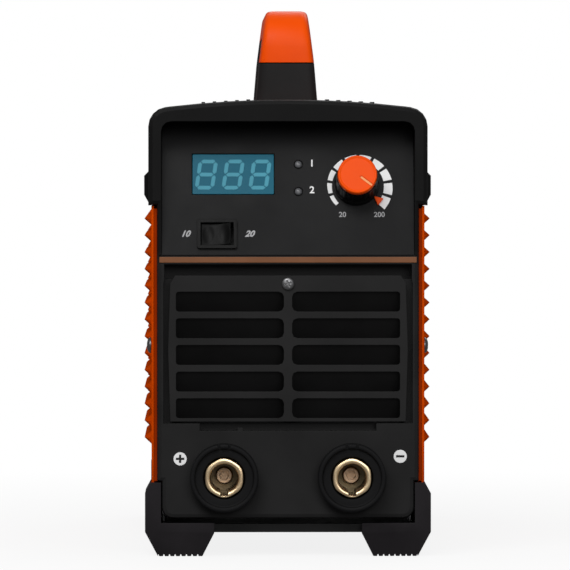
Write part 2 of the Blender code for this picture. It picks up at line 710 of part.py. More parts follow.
def make_knob():
    """The current knob, its orange cap, and the potentiometer that it turns."""
    at = (*KNOB_AT, 0)
    skirt = [
        (0, 13.2 * mm),
        (8.8 * mm, 13.2 * mm),
        (9.3 * mm, 12.6 * mm),
        (9.7 * mm, 3.4 * mm),
        (10.4 * mm, 2.6 * mm),
        (10.4 * mm, 0.4 * mm),
        (3.3 * mm, 0.4 * mm),
        (3.3 * mm, 11.4 * mm),
        (0, 11.4 * mm),
    ]
    turned("current_knob", skirt, BLACK_PLASTIC, CONTROL, at=at)
    cap = [(0, 16.4 * mm), (8.3 * mm, 16.4 * mm), (9.1 * mm, 15.6 * mm), (9.1 * mm, 13.5 * mm), (0, 13.5 * mm)]
    turned("knob_cap", cap, ORANGE_PLASTIC, CONTROL, at=at)
    rod("potentiometer_shaft", 3 * mm, -3.9 * mm, 11.1 * mm, STEEL, CONTROL, at=at)
    rod("potentiometer", 8.25 * mm, -13.7 * mm, -4.2 * mm, STEEL, CONTROL, at=at)


# ---- Rocker switches ----
def make_rocker_switch(name, panel_frame, at, turn, size, depth, rocker_angle):
    """A snap-in switch. Its rocker tips about the local Y axis; size is half length and half width."""
    half_length, half_width = size
    place = frame(name + "_frame", (*at, 0), (0, 0, turn), panel_frame)
    flange = rectangle(half_length + 0.7 * mm, half_width + 0.7 * mm, 1 * mm)
    body = rectangle(half_length, half_width)
    housing = outline(name + "_housing", [flange], "Z", 0.3 * mm, 1.5 * mm, GLOSS_BLACK, place)
    join(housing, outline("switch_body", [body], "Z", -depth, 1 * mm, parent=place))
    well = rectangle(half_length - 0.9 * mm, half_width - 0.9 * mm)
    cut(housing, outline("switch_well", [well], "Z", -8 * mm, 5 * mm, parent=place))
    pivot = -2 * mm
    reach = half_length - 1.7 * mm
    profile = rounded(
        [
            (-reach, 3.3 * mm, 0.5 * mm),
            (0, 2.0 * mm),
            (reach, 3.3 * mm, 0.5 * mm),
            (reach - 0.5 * mm, 0.2 * mm),
            (0.45 * reach, -3.2 * mm),
            (-0.45 * reach, -3.2 * mm),
            (-reach + 0.5 * mm, 0.2 * mm),
        ]
    )
    rocker_half_width = half_width - 1.2 * mm
    ends = (-rocker_half_width, rocker_half_width)
    tilt = (0, -rocker_angle, 0)
    at_pivot = (0, 0, pivot)
    outline(name + "_rocker", [profile], "Y", *ends, GLOSS_BLACK, place, at=at_pivot, turn=tilt)


# ---- Grille and sockets ----
def make_grille():
    """The plate in front of the air way, with a blade that slopes down behind each slot."""
    half = [(54.2 * mm, 62.5 * mm), (55.2 * mm, 96 * mm), (54.2 * mm, 126 * mm), (52 * mm, 129.7 * mm)]
    loops = [both_sides(half)]
    slot_tops = [122.3 * mm - row * 12.28 * mm for row in range(5)]
    for top in slot_tops:
        for side in (-1, 1):
            slot = [
                (side * 1.9 * mm, top, 2.4 * mm),
                (side * 51.6 * mm, top, 1.2 * mm),
                (side * 51.6 * mm, top - 9.2 * mm, 1.2 * mm),
                (side * 1.9 * mm, top - 9.2 * mm, 2.4 * mm),
            ]
            loops.append(rounded(slot, steps=2))
    grille = outline("vent_grille", loops, "Z", -3.4 * mm, -0.4 * mm, BLACK_PLASTIC, FRONT)
    blade = [(0.8 * mm, -2 * mm), (1.8 * mm, -2.4 * mm), (-8.9 * mm, -11.4 * mm), (-9.9 * mm, -10.8 * mm)]
    blades = outline("grille_blades", [blade], "X", -52.4 * mm, 52.4 * mm, parent=FRONT)
    blades.location = (0, slot_tops[-1], 0)
    repeat(blades, 5, (0, 12.28 * mm, 0))
    join(grille, blades)
    cut(grille, rod("grille_hole", 1.9 * mm, -12 * mm, 5 * mm, parent=FRONT, at=(0, 126 * mm, 0), sides=12))
    screw = [(0, 1.4 * mm), (1.8 * mm, 1.1 * mm), (2.9 * mm, 0.1 * mm), (2.9 * mm, -0.1 * mm)]
    screw += [(1.5 * mm, -0.1 * mm), (1.5 * mm, -11 * mm), (0, -11 * mm)]
    turned("grille_screw", screw, STEEL, FRONT, sides=16, at=(0, 126 * mm, 0))


def make_socket(name, side):
    """A panel socket: insulating body, brass contact, its bolt and the copper bar behind it."""
    at = (side * SOCKET_X, SOCKET_Z, 0)
    body = [
        (14.7 * mm, 8 * mm),
        (15.75 * mm, 7.1 * mm),
        (15.75 * mm, 0.3 * mm),
        (12.9 * mm, 0.3 * mm),
        (12.9 * mm, -17.9 * mm),
        (9.6 * mm, -17.9 * mm),
        (9.6 * mm, 6.2 * mm),
        (13.4 * mm, 6.2 * mm),
        (13.9 * mm, 8 * mm),
    ]
    turned(f"socket_body_{name}", body, BLACK_RUBBER, FRONT, sides=28, at=at)
    contact = [
        (8.3 * mm, 7 * mm),
        (9.2 * mm, 6.1 * mm),
        (9.2 * mm, -18.3 * mm),
        (12.5 * mm, -18.3 * mm),
        (12.5 * mm, -24 * mm),
        (3.3 * mm, -24 * mm),
        (3.3 * mm, -18 * mm),
        (6.5 * mm, -18 * mm),
        (6.5 * mm, 6.2 * mm),
        (7.2 * mm, 7 * mm),
    ]
    turned(f"socket_contact_{name}", contact, BRASS, FRONT, sides=24, at=at)
    bolt = [
        (0, -13.2 * mm),
        (3.4 * mm, -13.2 * mm),
        (4 * mm, -13.8 * mm),
        (4 * mm, -17.7 * mm),
        (3 * mm, -17.7 * mm),
        (3 * mm, -34 * mm),
        (0, -34 * mm),
    ]
    turned(f"socket_bolt_{name}", bolt, STEEL, FRONT, sides=20, at=at)
    near, over = FACE_Y + 24.3 * mm, BOARD_Z + BOARD_THICKNESS + GAP
    bar = [
        (near, 27 * mm),
        (near + 2.5 * mm, 27 * mm),
        (near + 2.5 * mm, over),
        (-88 * mm, over),
        (-88 * mm, over + 2.5 * mm),
        (near, over + 2.5 * mm),
    ]
    across = (at[0] - 7 * mm, at[0] + 7 * mm)
    busbar = outline(f"busbar_{name}", [bar], "X", *across, COPPER)
    cut(busbar, rod("busbar_hole", 3.3 * mm, -40 * mm, -20 * mm, parent=FRONT, at=at, sides=16))


# ---- Back of the machine ----
def make_fan():
    """The fan's frame, its turning rotor and the guard outside the panel."""
    at = (0, FAN_Z, 0)
    duct = ring((0, 0), FAN_DUCT, 36)
    square = rectangle(FAN_HALF, FAN_HALF, 4 * mm)
    back, front = -27.7 * mm, -2.7 * mm
    body = outline("fan_frame", [square, duct], "Z", back, front, BLACK_PLASTIC, REAR, at=at)
    join(body, rod("motor_mount", 19 * mm, back, back + 2.8 * mm, parent=REAR, at=at))
    for quarter in range(2):
        arm = box("fan_arm", (-44.5 * mm, -2.5 * mm, back), (44.5 * mm, 2.5 * mm, back + 2.2 * mm), parent=REAR)
        arm.location = at
        arm.rotation_euler = (0, 0, math.radians(45 + 90 * quarter))
        join(body, arm)
    hub = [(0, -4 * mm), (16.5 * mm, -4 * mm), (18 * mm, -5.5 * mm), (18 * mm, -24.4 * mm), (0, -24.4 * mm)]
    rotor = turned("fan_rotor", hub, BLACK_PLASTIC, REAR, at=at, sides=24)
    for blade in range(7):
        size_low, size_high = (16 * mm, -0.8 * mm, -9.5 * mm), (41.5 * mm, 0.8 * mm, 9.5 * mm)
        fin = box("fan_blade", size_low, size_high, parent=REAR)
        fin.data.transform(Matrix.Rotation(math.radians(52), 4, "X"))
        fin.location = (0, FAN_Z, -14 * mm)
        fin.rotation_euler = (0, 0, math.tau * blade / 7)
        join(rotor, fin)
    guard_loops = [ring((0, 0), 47 * mm, 32)]
    inner_edges = [12 * mm, 20.4 * mm, 28.8 * mm, 37.2 * mm]
    for inner in inner_edges:
        outer = inner + 6.6 * mm
        for quarter in range(4):
            guard_loops.append(ring_sector(inner, outer, quarter))
    outline("fan_guard", guard_loops, "Z", 0.3 * mm, 2.5 * mm, BLACK_STEEL, REAR, at=at)


def ring_sector(inner, outer, quarter, steps=5, arm=1.2 * mm):
    """A quarter of the gap between two rings, leaving half an arm's width at each end."""
    points = []
    for radius, order in ((inner, range(steps + 1)), (outer, range(steps, -1, -1))):
        trim = math.asin(arm / radius)
        start = math.radians(90 * quarter) + trim
        sweep = math.radians(90) - 2 * trim
        for step in order:
            angle = start + sweep * step / steps
            points.append((radius * math.cos(angle), radius * math.sin(angle)))
    return points


def make_gland():
    """The mains cable's gland: a threaded body through the panel, and the dome nut outside."""
    at = (*GLAND_AT, 0)
    body = [
        (9.6 * mm, 6 * mm),
        (9.9 * mm, -11 * mm),
        (6.4 * mm, -11 * mm),
        (6.4 * mm, 6 * mm),
    ]
    gland = turned("cable_gland", body, BLACK_PLASTIC, REAR, at=at, sides=24)
    hexagon = ring((0, 0), 13.6 * mm, 6)
    clamp = outline("gland_hexagon", [hexagon, ring((0, 0), 7 * mm)], "Z", 0.3 * mm, 5.4 * mm, parent=REAR)
    clamp.location = at
    join(gland, clamp)
    nut = [
        (8.6 * mm, 20 * mm),
        (10.2 * mm, 18.2 * mm),
        (11.4 * mm, 13 * mm),
        (11.4 * mm, 6.3 * mm),
        (6.2 * mm, 6.3 * mm),
        (6.2 * mm, 20 * mm),
    ]
    turned("cable_gland_nut", nut, BLACK_PLASTIC, REAR, at=at, sides=24)


def make_earth_screw():
    profile = [
        (0, 5.4 * mm),
        (4.6 * mm, 5.4 * mm),
        (5.2 * mm, 4.8 * mm),
        (5.2 * mm, 1.6 * mm),
        (7 * mm, 1.6 * mm),
        (7 * mm, 0.3 * mm),
        (2.9 * mm, 0.3 * mm),
        (2.9 * mm, -10 * mm),
        (0, -10 * mm),
    ]
    turned("earth_screw", profile, BRASS, REAR, at=(*EARTH_AT, 0), sides=20)


def make_casing_screws():
    for y, end in ((SIDE_SCREW_Y, "front"), (opposite(SIDE_SCREW_Y), "rear")):
        for side, hand in ((-1, "left"), (1, "right")):
            out = CASE_HALF_WIDTH + GAP
            profile = [
                (0, out + 1.9 * mm),
                (2.2 * mm, out + 1.6 * mm),
                (3.6 * mm, out + 0.4 * mm),
                (3.6 * mm, out),
                (1.9 * mm, out),
                (1.9 * mm, 57 * mm),
                (0, 57 * mm),
            ]
            at, turn = (0, y, SIDE_SCREW_Z), (0, side * UPRIGHT, 0)
            turned(f"casing_screw_{end}_{hand}", profile, STEEL, sides=12, at=at, turn=turn)


# ---- Power electronics ----
def make_board():
    """The main board on its two rails."""
    top = BOARD_Z + BOARD_THICKNESS
    box("main_board", (-57 * mm, -105 * mm, BOARD_Z), (57 * mm, 92 * mm, top), GREEN_BOARD)
    for side, hand in ((-1, "left"), (1, "right")):
        rail = [
            (57.2 * mm, 12.9 * mm),
            (58.4 * mm, 12.9 * mm),
            (58.4 * mm, BOARD_Z - GAP),
            (51.5 * mm, BOARD_Z - GAP),
            (51.5 * mm, BOARD_Z - 1.5 * mm),
            (57.2 * mm, BOARD_Z - 1.5 * mm),
        ]
        loop = [(side * x, z) for x, z in rail]
        outline(f"board_rail_{hand}", [loop], "Y", -100 * mm, 88 * mm, ALUMINIUM)


def make_heatsinks():
    """A finned heatsink on each side, hanging in the air stream under the board."""
    fins, pitch, fin = 8, 6 * mm, 1.8 * mm
    under, base, tip = BOARD_Z - GAP, BOARD_Z - 7 * mm, 72 * mm
    for side, hand in ((-1, "left"), (1, "right")):
        loop = [(0, under), (0, tip)]
        for index in range(fins):
            start = index * pitch
            loop += [(start + fin, tip), (start + fin, base)]
            if index < fins - 1:
                loop += [(start + pitch, base), (start + pitch, tip)]
        loop = loop[:-1] + [((fins - 1) * pitch + fin, under)]
        loop = [(side * (u + 5.5 * mm), v) for u, v in loop]
        outline(f"heatsink_{hand}", [loop], "Y", -45 * mm, 60 * mm, ALUMINIUM)


def make_transformer():
    """The main transformer: a three-legged core with its winding round the middle leg."""
    low, high, middle = BOARD_Z + BOARD_THICKNESS + GAP, 168 * mm, -72 * mm
    outer = [(-30 * mm, low), (30 * mm, low), (30 * mm, high), (-30 * mm, high)]
    windows = []
    for side in (-1, 1):
        near, far = side * 9 * mm, side * 21 * mm
        windows.append([(near, low + 8 * mm), (far, low + 8 * mm), (far, high - 8 * mm), (near, high - 8 * mm)])
    outline("transformer_core", [outer, *windows], "Y", middle - 11 * mm, middle + 11 * mm, DARK_FERRITE)
    wound = rectangle(20.4 * mm, 20 * mm, 5 * mm, (0, middle))
    leg = rectangle(9.5 * mm, 11.5 * mm, 0, (0, middle))
    ends = (low + 8.6 * mm, high - 8.6 * mm)
    outline("transformer_winding", [wound, leg], "Z", *ends, YELLOW_TAPE)


def make_board_pieces():
    """Capacitors, output choke and input rectifier on the board."""
    on_board = BOARD_Z + BOARD_THICKNESS + GAP
    for index in range(3):
        can = [(0, 45 * mm), (13.6 * mm, 45 * mm), (15 * mm, 43.6 * mm), (15 * mm, 0), (0, 0)]
        at = (34 * mm, (-28 + 33 * index) * mm, on_board)
        turned(f"capacitor_{index + 1}", can, BLACK_RUBBER, at=at, sides=20)
    choke = []
    for step in range(10):
        angle = math.radians(90) - math.tau * step / 10
        choke.append((19 * mm + 9 * mm * math.cos(angle), 9.1 * mm + 9 * mm * math.sin(angle)))
    turned("output_choke", choke, YELLOW_TAPE, at=(-28 * mm, 50 * mm, on_board), sides=20)
    low, high = (-46 * mm, -30 * mm, on_board), (-12 * mm, -6 * mm, on_board + 11 * mm)
    rectifier = box("bridge_rectifier", low, high, DARK_FERRITE)
    round_edges(rectifier, 1 * mm, 1)


# ---- Assembly ----
def main():
    make_casing()
    make_front_panel()
    make_rear_panel()
    make_feet()
    make_chassis()
    make_handle()
    make_control_panel()
    make_control_board()
    make_knob()
    tilt = math.radians(10)
    mode_size = (8.5 * mm, 6.3 * mm)
    make_rocker_switch("mode_switch", CONTROL, MODE_SWITCH_AT, 0, mode_size, 13.5 * mm, tilt)
    power_size = (13 * mm, 10 * mm)
    make_rocker_switch("power_switch", REAR, POWER_SWITCH_AT, UPRIGHT, power_size, 22 * mm, tilt)
    make_grille()
    make_socket("negative", 1)
    make_socket("positive", -1)
    make_fan()
    make_gland()
    make_earth_screw()
    make_casing_screws()
    make_board()
    make_heatsinks()
    make_transformer()
    make_board_pieces()
    for piece in PARTS.objects:
        if piece.type == "MESH":
            piece.data.shade_smooth()
            piece.data.set_sharp_from_angle(angle=math.radians(35))


main()
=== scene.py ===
"""The looks of the stick welding inverter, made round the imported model.

Everything is in metres in the model's own frame: X to the right of someone facing the front, Y to the
back and Z up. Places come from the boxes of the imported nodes.
"""

import math

import bmesh
import bpy
from mathutils import Matrix, Vector


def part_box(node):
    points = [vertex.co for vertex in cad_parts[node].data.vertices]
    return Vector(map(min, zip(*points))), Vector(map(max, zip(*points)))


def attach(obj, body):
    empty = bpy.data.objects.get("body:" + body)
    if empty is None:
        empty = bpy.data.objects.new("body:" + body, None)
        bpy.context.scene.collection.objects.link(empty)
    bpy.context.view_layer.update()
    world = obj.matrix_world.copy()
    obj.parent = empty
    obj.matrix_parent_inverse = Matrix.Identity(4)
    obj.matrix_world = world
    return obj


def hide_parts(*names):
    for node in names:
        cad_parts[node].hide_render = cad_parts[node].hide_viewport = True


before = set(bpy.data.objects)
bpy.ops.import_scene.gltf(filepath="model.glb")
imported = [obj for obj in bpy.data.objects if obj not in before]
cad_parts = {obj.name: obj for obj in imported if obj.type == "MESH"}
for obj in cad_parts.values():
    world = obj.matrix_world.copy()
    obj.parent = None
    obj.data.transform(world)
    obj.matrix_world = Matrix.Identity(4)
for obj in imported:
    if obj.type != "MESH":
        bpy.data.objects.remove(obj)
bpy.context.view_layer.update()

mm = 0.001
TAU = math.tau

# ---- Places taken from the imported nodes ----
CASE_LOW, CASE_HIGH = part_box("casing")
FACE_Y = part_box("front_panel")[0].y
BACK_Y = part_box("rear_panel")[1].y
MIDDLE_Y = (FACE_Y + BACK_Y) / 2

# ---- Driving dimensions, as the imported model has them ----
SHEET = 1.2 * mm
WALL_X = 62.9 * mm  # outer face of the casing's sides
PANEL_HALF_WIDTH = 60.3 * mm  # the end panels where they sit inside the casing
CASE_TOP = 206 * mm
CASE_CORNER = 8 * mm
HOOD_BOTTOM = 162 * mm
HOOD_DEPTH = 30.3 * mm
FOOT_TOP = 34.3 * mm
TILT = math.radians(17)  # the control panel leans back
CONTROL_BOTTOM = 137 * mm
LOUVRE_PITCH = 7.85 * mm
LOUVRE_ROWS = 14
LOUVRE_LOWEST = 54.4 * mm
LOUVRE_GROUPS = (-118 * mm, 11 * mm)
LOUVRE_LENGTH = 95 * mm
LOUVRE_MOUTH = [1.0 * mm, 2.45 * mm]  # how far out the open strip under a louvre begins and ends
SOCKET_X = 29.4 * mm
SOCKET_Z = 36.8 * mm
SIDE_SCREW_Y = -131 * mm
SIDE_SCREW_Z = 97 * mm
FAN_Z = 68 * mm
POWER_SWITCH_AT = (28 * mm, 165 * mm)
GLAND_AT = (-30 * mm, 165 * mm)
EARTH_AT = (-46 * mm, 131 * mm)
HANDLE_FRONT = -98 * mm
HANDLE_TOP = 252.5 * mm
HANDLE_SEAM = 228.2 * mm
GRIP_SEAM = 240 * mm


def up_panel(z):
    """Distance up the leaning panel to a height."""
    return (z - CONTROL_BOTTOM) / math.cos(TILT)


SCALE_AT = (32.4 * mm, up_panel(170.7 * mm))
KNOB_AT = (31.8 * mm, up_panel(171.7 * mm))
DISPLAY_AT = (-25.2 * mm, up_panel(176.3 * mm))
MODE_SWITCH_AT = (-32.6 * mm, up_panel(148.6 * mm))
LAMPS_AT = {"upper": (4.9 * mm, up_panel(180.8 * mm)), "lower": (4.9 * mm, up_panel(168.3 * mm))}
POINTER_ANGLE = math.radians(-38)

# Each of these stands Z out of a panel, with Y up it and X across it.
FRONT = Matrix.Translation((0, FACE_Y, 0)) @ Matrix.Rotation(TAU / 4, 4, "X")
CONTROL = Matrix.Translation((0, FACE_Y, CONTROL_BOTTOM)) @ Matrix.Rotation(TAU / 4 - TILT, 4, "X")
ABOUT = Matrix.Rotation(TAU / 2, 4, "Z")
REAR = Matrix.Translation((0, BACK_Y, 0)) @ ABOUT @ Matrix.Rotation(TAU / 4, 4, "X")


def at(panel, across, up, out=0.0, turn=0.0):
    """A place on a panel."""
    return panel @ Matrix.Translation((across, up, out)) @ Matrix.Rotation(turn, 4, "Z")


def opposite(y):
    return 2 * MIDDLE_Y - y


# ---- Node materials ----
def add(tree, kind, settings=None, **inputs):
    """A shader node; an input is given by its name, as a value or as another node's socket."""
    node = tree.nodes.new("ShaderNode" + kind)
    for name, value in (settings or {}).items():
        setattr(node, name, value)
    for name, value in inputs.items():
        socket = node.inputs[int(name[1:]) if name[0] == "_" else name.replace("_", " ")]
        if isinstance(value, bpy.types.NodeSocket):
            tree.links.new(value, socket)
        else:
            socket.default_value = value
    return node


def remap(tree, value, low, high, start=0.35, end=0.65):
    """Stretches the middle of a noise to the range low to high."""
    ranges = {"From_Min": start, "From_Max": end, "To_Min": low, "To_Max": high}
    return add(tree, "MapRange", Value=value, **ranges).outputs["Result"]


def blend_colours(tree, factor, first, second):
    node = add(tree, "Mix", {"data_type": "RGBA"}, _0=factor)
    for socket, value in ((node.inputs[6], first), (node.inputs[7], second)):
        if isinstance(value, bpy.types.NodeSocket):
            tree.links.new(value, socket)
        else:
            socket.default_value = (*value, 1)
    return node.outputs[2]


def scaled(colour, share):
    return tuple(min(1, channel * share) for channel in colour)


def surface(
    name,
    slot,
    colour,
    roughness,
    metallic=0.0,
    grain=0.5 * mm,
    relief=0.01 * mm,
    stretch=(1, 1, 1),
    mottle=0.12,
    wear=0.0,
    worn=(0.5, 0.5, 0.5),
    edge=0.4 * mm,
    coat=0.0,
    specular=0.5,
):
    """A finish with fine grain, broad tone changes and edges that are rounded and a little worn.

    grain and relief are the size and height of the surface's texture, and stretch draws it out
    along an axis. mottle is how much the tone varies, wear how far the edges show the worn colour.
    """
    material = bpy.data.materials.new(name)
    material.use_nodes = True
    material["slot"] = slot
    tree = material.node_tree
    shader = tree.nodes["Principled BSDF"]
    place = add(tree, "TexCoord").outputs["Object"]
    drawn = add(tree, "Mapping", Vector=place, Scale=stretch).outputs["Vector"]
    fine = add(tree, "TexNoise", Vector=drawn, Scale=1 / grain, Detail=3.0).outputs["Fac"]
    broad = add(tree, "TexNoise", Vector=place, Scale=45.0, Detail=5.0).outputs["Fac"]
    tone = remap(tree, broad, 0.0, 1.0)
    mixed = blend_colours(tree, tone, scaled(colour, 1 - mottle), scaled(colour, 1 + mottle))
    rounded_normal = add(tree, "Bevel", {"samples": 4}, Radius=edge).outputs["Normal"]
    if wear:
        true_normal = add(tree, "NewGeometry").outputs["Normal"]
        facing = add(tree, "VectorMath", {"operation": "DOT_PRODUCT"}, _0=rounded_normal, _1=true_normal)
        at_edge = remap(tree, facing.outputs["Value"], wear, 0.0, 0.75, 0.98)
        patchy = add(tree, "Math", {"operation": "MULTIPLY"}, _0=at_edge, _1=remap(tree, broad, 0.2, 1.0))
        mixed = blend_colours(tree, patchy.outputs["Value"], mixed, worn)
    tree.links.new(mixed, shader.inputs["Base Color"])
    by_grain = remap(tree, fine, roughness - 0.05, roughness + 0.05)
    by_tone = remap(tree, broad, -0.05, 0.05)
    rough = add(tree, "Math", {"operation": "ADD", "use_clamp": True}, _0=by_grain, _1=by_tone)
    tree.links.new(rough.outputs["Value"], shader.inputs["Roughness"])
    bump = add(tree, "Bump", Strength=1.0, Distance=relief, Height=fine, Normal=rounded_normal)
    tree.links.new(bump.outputs["Normal"], shader.inputs["Normal"])
    shader.inputs["Metallic"].default_value = metallic
    shader.inputs["Coat Weight"].default_value = coat
    shader.inputs["Coat Roughness"].default_value = 0.15
    shader.inputs["Specular IOR Level"].default_value = specular
    return material


ORANGE_PAINT = surface(
    "orange_paint", "orange_paint", (0.62, 0.062, 0.001), 0.45,
    grain=1.1 * mm, relief=0.03 * mm, mottle=0.08, wear=0.35, worn=(0.8, 0.13, 0.01), specular=0.0,
)
# Painted shade: a darker copy of the orange paint for the hems beside the end panels, standing in for the
# shade at the panels' edges.
SHADED_HEM_PAINT = surface(
    "orange_paint_hem_painted_shade", "orange_paint", (0.30, 0.026, 0.001), 0.5,
    grain=1.1 * mm, relief=0.03 * mm, mottle=0.1, wear=0.3, worn=(0.5, 0.07, 0.005), specular=0.0,
)
MOULDED = surface(
    "moulded_black", "black_plastic", (0.0175, 0.0172, 0.0174), 0.5,
    grain=0.35 * mm, relief=0.016 * mm, mottle=0.12, wear=0.25, worn=(0.04, 0.04, 0.04), specular=0.1,
)
# The front moulding; make_panels darkens it above the control panel's foot, which is painted shade.
MOULDED_FRONT = surface(
    "moulded_front", "black_plastic", (0.0170, 0.0168, 0.0170), 0.48,
    grain=0.35 * mm, relief=0.016 * mm, mottle=0.12, wear=0.25, worn=(0.04, 0.04, 0.04), specular=0.08,
)
SMOOTH_BLACK = surface(
    "smooth_black", "gloss_black", (0.0045, 0.0045, 0.0045), 0.42,
    grain=0.5 * mm, relief=0.003 * mm, mottle=0.1, wear=0.25, worn=(0.02, 0.02, 0.02), specular=0.1,
)
SOFT_BLACK = surface(
    "soft_black", "black_rubber", (0.0085, 0.0085, 0.009), 0.6,
    grain=0.6 * mm, relief=0.02 * mm, mottle=0.15, wear=0.25, worn=(0.03, 0.03, 0.03), specular=0.08,
)
FILM = surface(
    "control_film", "black_film", (0.0054, 0.0054, 0.0058), 0.42,
    grain=0.22 * mm, relief=0.006 * mm, mottle=0.05, edge=0.2 * mm, specular=0.1,
)
ORANGE_PLASTIC = surface(
    "orange_plastic", "orange_plastic", (1.0, 0.086, 0.0), 0.42,
    grain=0.4 * mm, relief=0.012 * mm, mottle=0.06, wear=0.4, worn=(1.0, 0.17, 0.01), specular=0.12,
)
PALE_ORANGE = surface(
    "pale_orange", "orange_plastic", (1.0, 0.36, 0.11), 0.45, grain=0.3 * mm, relief=0.004 * mm, mottle=0.05,
)
# The orange accent strip in a dull dark orange. This is partly its own colour and partly painted shade on the
# ledge at the foot of the leaning panel.
ACCENT = surface(
    "accent_orange_painted_shade", "orange_plastic", (0.195, 0.074, 0.028), 0.38,
    grain=0.3 * mm, relief=0.006 * mm, stretch=(0.1, 1, 1), mottle=0.1, wear=0.3, worn=(0.3, 0.15, 0.06),
    specular=0.3,
)
WHITE_INK = surface(
    "white_ink", "black_film", (0.90, 0.90, 0.90), 0.5, grain=0.25 * mm, relief=0.004 * mm, mottle=0.04,
)
GREY_INK = surface(
    "grey_ink", "black_film", (0.40, 0.40, 0.41), 0.5, grain=0.25 * mm, relief=0.004 * mm, mottle=0.08,
)
FOOT_BLACK = surface(
    "foot_black", "black_rubber", (0.0185, 0.0165, 0.0185), 0.6,
    grain=0.6 * mm, relief=0.02 * mm, mottle=0.15, wear=0.25, worn=(0.04, 0.04, 0.04), specular=0.08,
)
BRASS = surface(
    "turned_brass", "brass", (0.95, 0.68, 0.40), 0.3, 1.0,
    grain=0.5 * mm, relief=0.006 * mm, stretch=(1, 6, 1), mottle=0.12, wear=0.4, worn=(1.0, 0.85, 0.6),
)
STEEL = surface(
    "zinc_steel", "steel", (0.20, 0.20, 0.205), 0.4, 1.0,
    grain=0.8 * mm, relief=0.008 * mm, mottle=0.15, wear=0.4, worn=(0.45, 0.45, 0.45),
)
# The sockets' contact brass; make_sockets darkens it towards the back of the bore, which is painted shade.
CONTACT_BRASS = surface(
    "contact_brass", "brass", (1.0, 0.74, 0.46), 0.36, 1.0,
    grain=0.5 * mm, relief=0.006 * mm, stretch=(1, 6, 1), mottle=0.1, wear=0.4, worn=(1.0, 0.88, 0.66),
)
YELLOW_ZINC = surface(
    "yellow_zinc_steel", "steel", (0.72, 0.52, 0.36), 0.4, 1.0,
    grain=0.8 * mm, relief=0.008 * mm, mottle=0.2, wear=0.4, worn=(0.85, 0.65, 0.45),
)
BLACK_STEEL = surface(
    "black_steel", "black_steel", (0.007, 0.007, 0.007), 0.5,
    grain=0.9 * mm, relief=0.02 * mm, mottle=0.12, wear=0.4, worn=(0.06, 0.06, 0.06), specular=0.15,
)
COPPER = surface(
    "bare_copper", "copper", (0.80, 0.34, 0.20), 0.33, 1.0,
    grain=0.6 * mm, relief=0.01 * mm, stretch=(1, 1, 0.2), mottle=0.25, wear=0.3, worn=(1.0, 0.6, 0.4),
)
ALUMINIUM = surface(
    "extruded_aluminium", "aluminium", (0.62, 0.62, 0.64), 0.4, 1.0,
    grain=0.5 * mm, relief=0.01 * mm, stretch=(1, 0.05, 1), mottle=0.12, wear=0.3, worn=(0.85, 0.85, 0.85),
)
BOARD_GREEN = surface(
    "board_green", "green_board", (0.012, 0.11, 0.045), 0.36,
    grain=1.5 * mm, relief=0.02 * mm, stretch=(1, 0.3, 1), mottle=0.35, wear=0.3, worn=(0.35, 0.35, 0.2),
)
FERRITE = surface(
    "ferrite", "dark_ferrite", (0.028, 0.028, 0.030), 0.62,
    grain=0.7 * mm, relief=0.03 * mm, mottle=0.2, wear=0.4, worn=(0.1, 0.1, 0.1),
)
TAPE = surface(
    "wound_tape", "yellow_tape", (0.58, 0.38, 0.03), 0.36,
    grain=1.2 * mm, relief=0.05 * mm, stretch=(0.4, 0.4, 2), mottle=0.2, coat=0.3,
)
LENS = surface(
    "grey_lens", "grey_lens", (0.11, 0.112, 0.12), 0.4,
    grain=0.6 * mm, relief=0.004 * mm, mottle=0.15, coat=0.15,
)
WINDOW = surface(
    "blue_window", "blue_window", (0.008, 0.118, 0.182), 0.35,
    grain=0.3 * mm, relief=0.002 * mm, mottle=0.05, edge=0.2 * mm, specular=0.1,
)
DIGIT = surface(
    "digit_segments", "blue_window", (0.075, 0.32, 0.42), 0.4,
    grain=0.3 * mm, relief=0.002 * mm, mottle=0.06, specular=0.1,
)


# ---- Shapes ----
def rounded(corners, radius=0.0, steps=5, closed=True):
    """The points of a line with its corners rounded. A corner may hold its own radius third."""
    points = []
    last = len(corners) - 1
    for index, corner in enumerate(corners):
        here = Vector(corner[:2])
        own = corner[2] if len(corner) > 2 else radius
        if not own or (not closed and index in (0, last)):
            points.append(tuple(here))
            continue
        before = (Vector(corners[index - 1][:2]) - here).normalized()
        after = (Vector(corners[(index + 1) % len(corners)][:2]) - here).normalized()
        half = before.angle(after) / 2
        centre = here + (before + after).normalized() * (own / math.sin(half))
        start = here + before * (own / math.tan(half)) - centre
        end = here + after * (own / math.tan(half)) - centre
        first = math.atan2(start.y, start.x)
        sweep = (math.atan2(end.y, end.x) - first + math.pi) % TAU - math.pi
        for step in range(steps + 1):
            angle = first + sweep * step / steps
            points.append((centre.x + own * math.cos(angle), centre.y + own * math.sin(angle)))
    return points


def in_mm(*points):
    """Points given in millimetres."""
    return [tuple(value * mm for value in point) for point in points]


def circle(radius, sides=32, centre=(0, 0), start=0.0):
    angles = [start + TAU * side / sides for side in range(sides)]
    return [(centre[0] + radius * math.cos(a), centre[1] + radius * math.sin(a)) for a in angles]


def rectangle(half_width, half_height, radius=0.0, centre=(0, 0), steps=4):
    u, v = centre
    corners = [(u + i * half_width, v + j * half_height) for i, j in ((-1, -1), (1, -1), (1, 1), (-1, 1))]
    return rounded(corners, radius, steps)


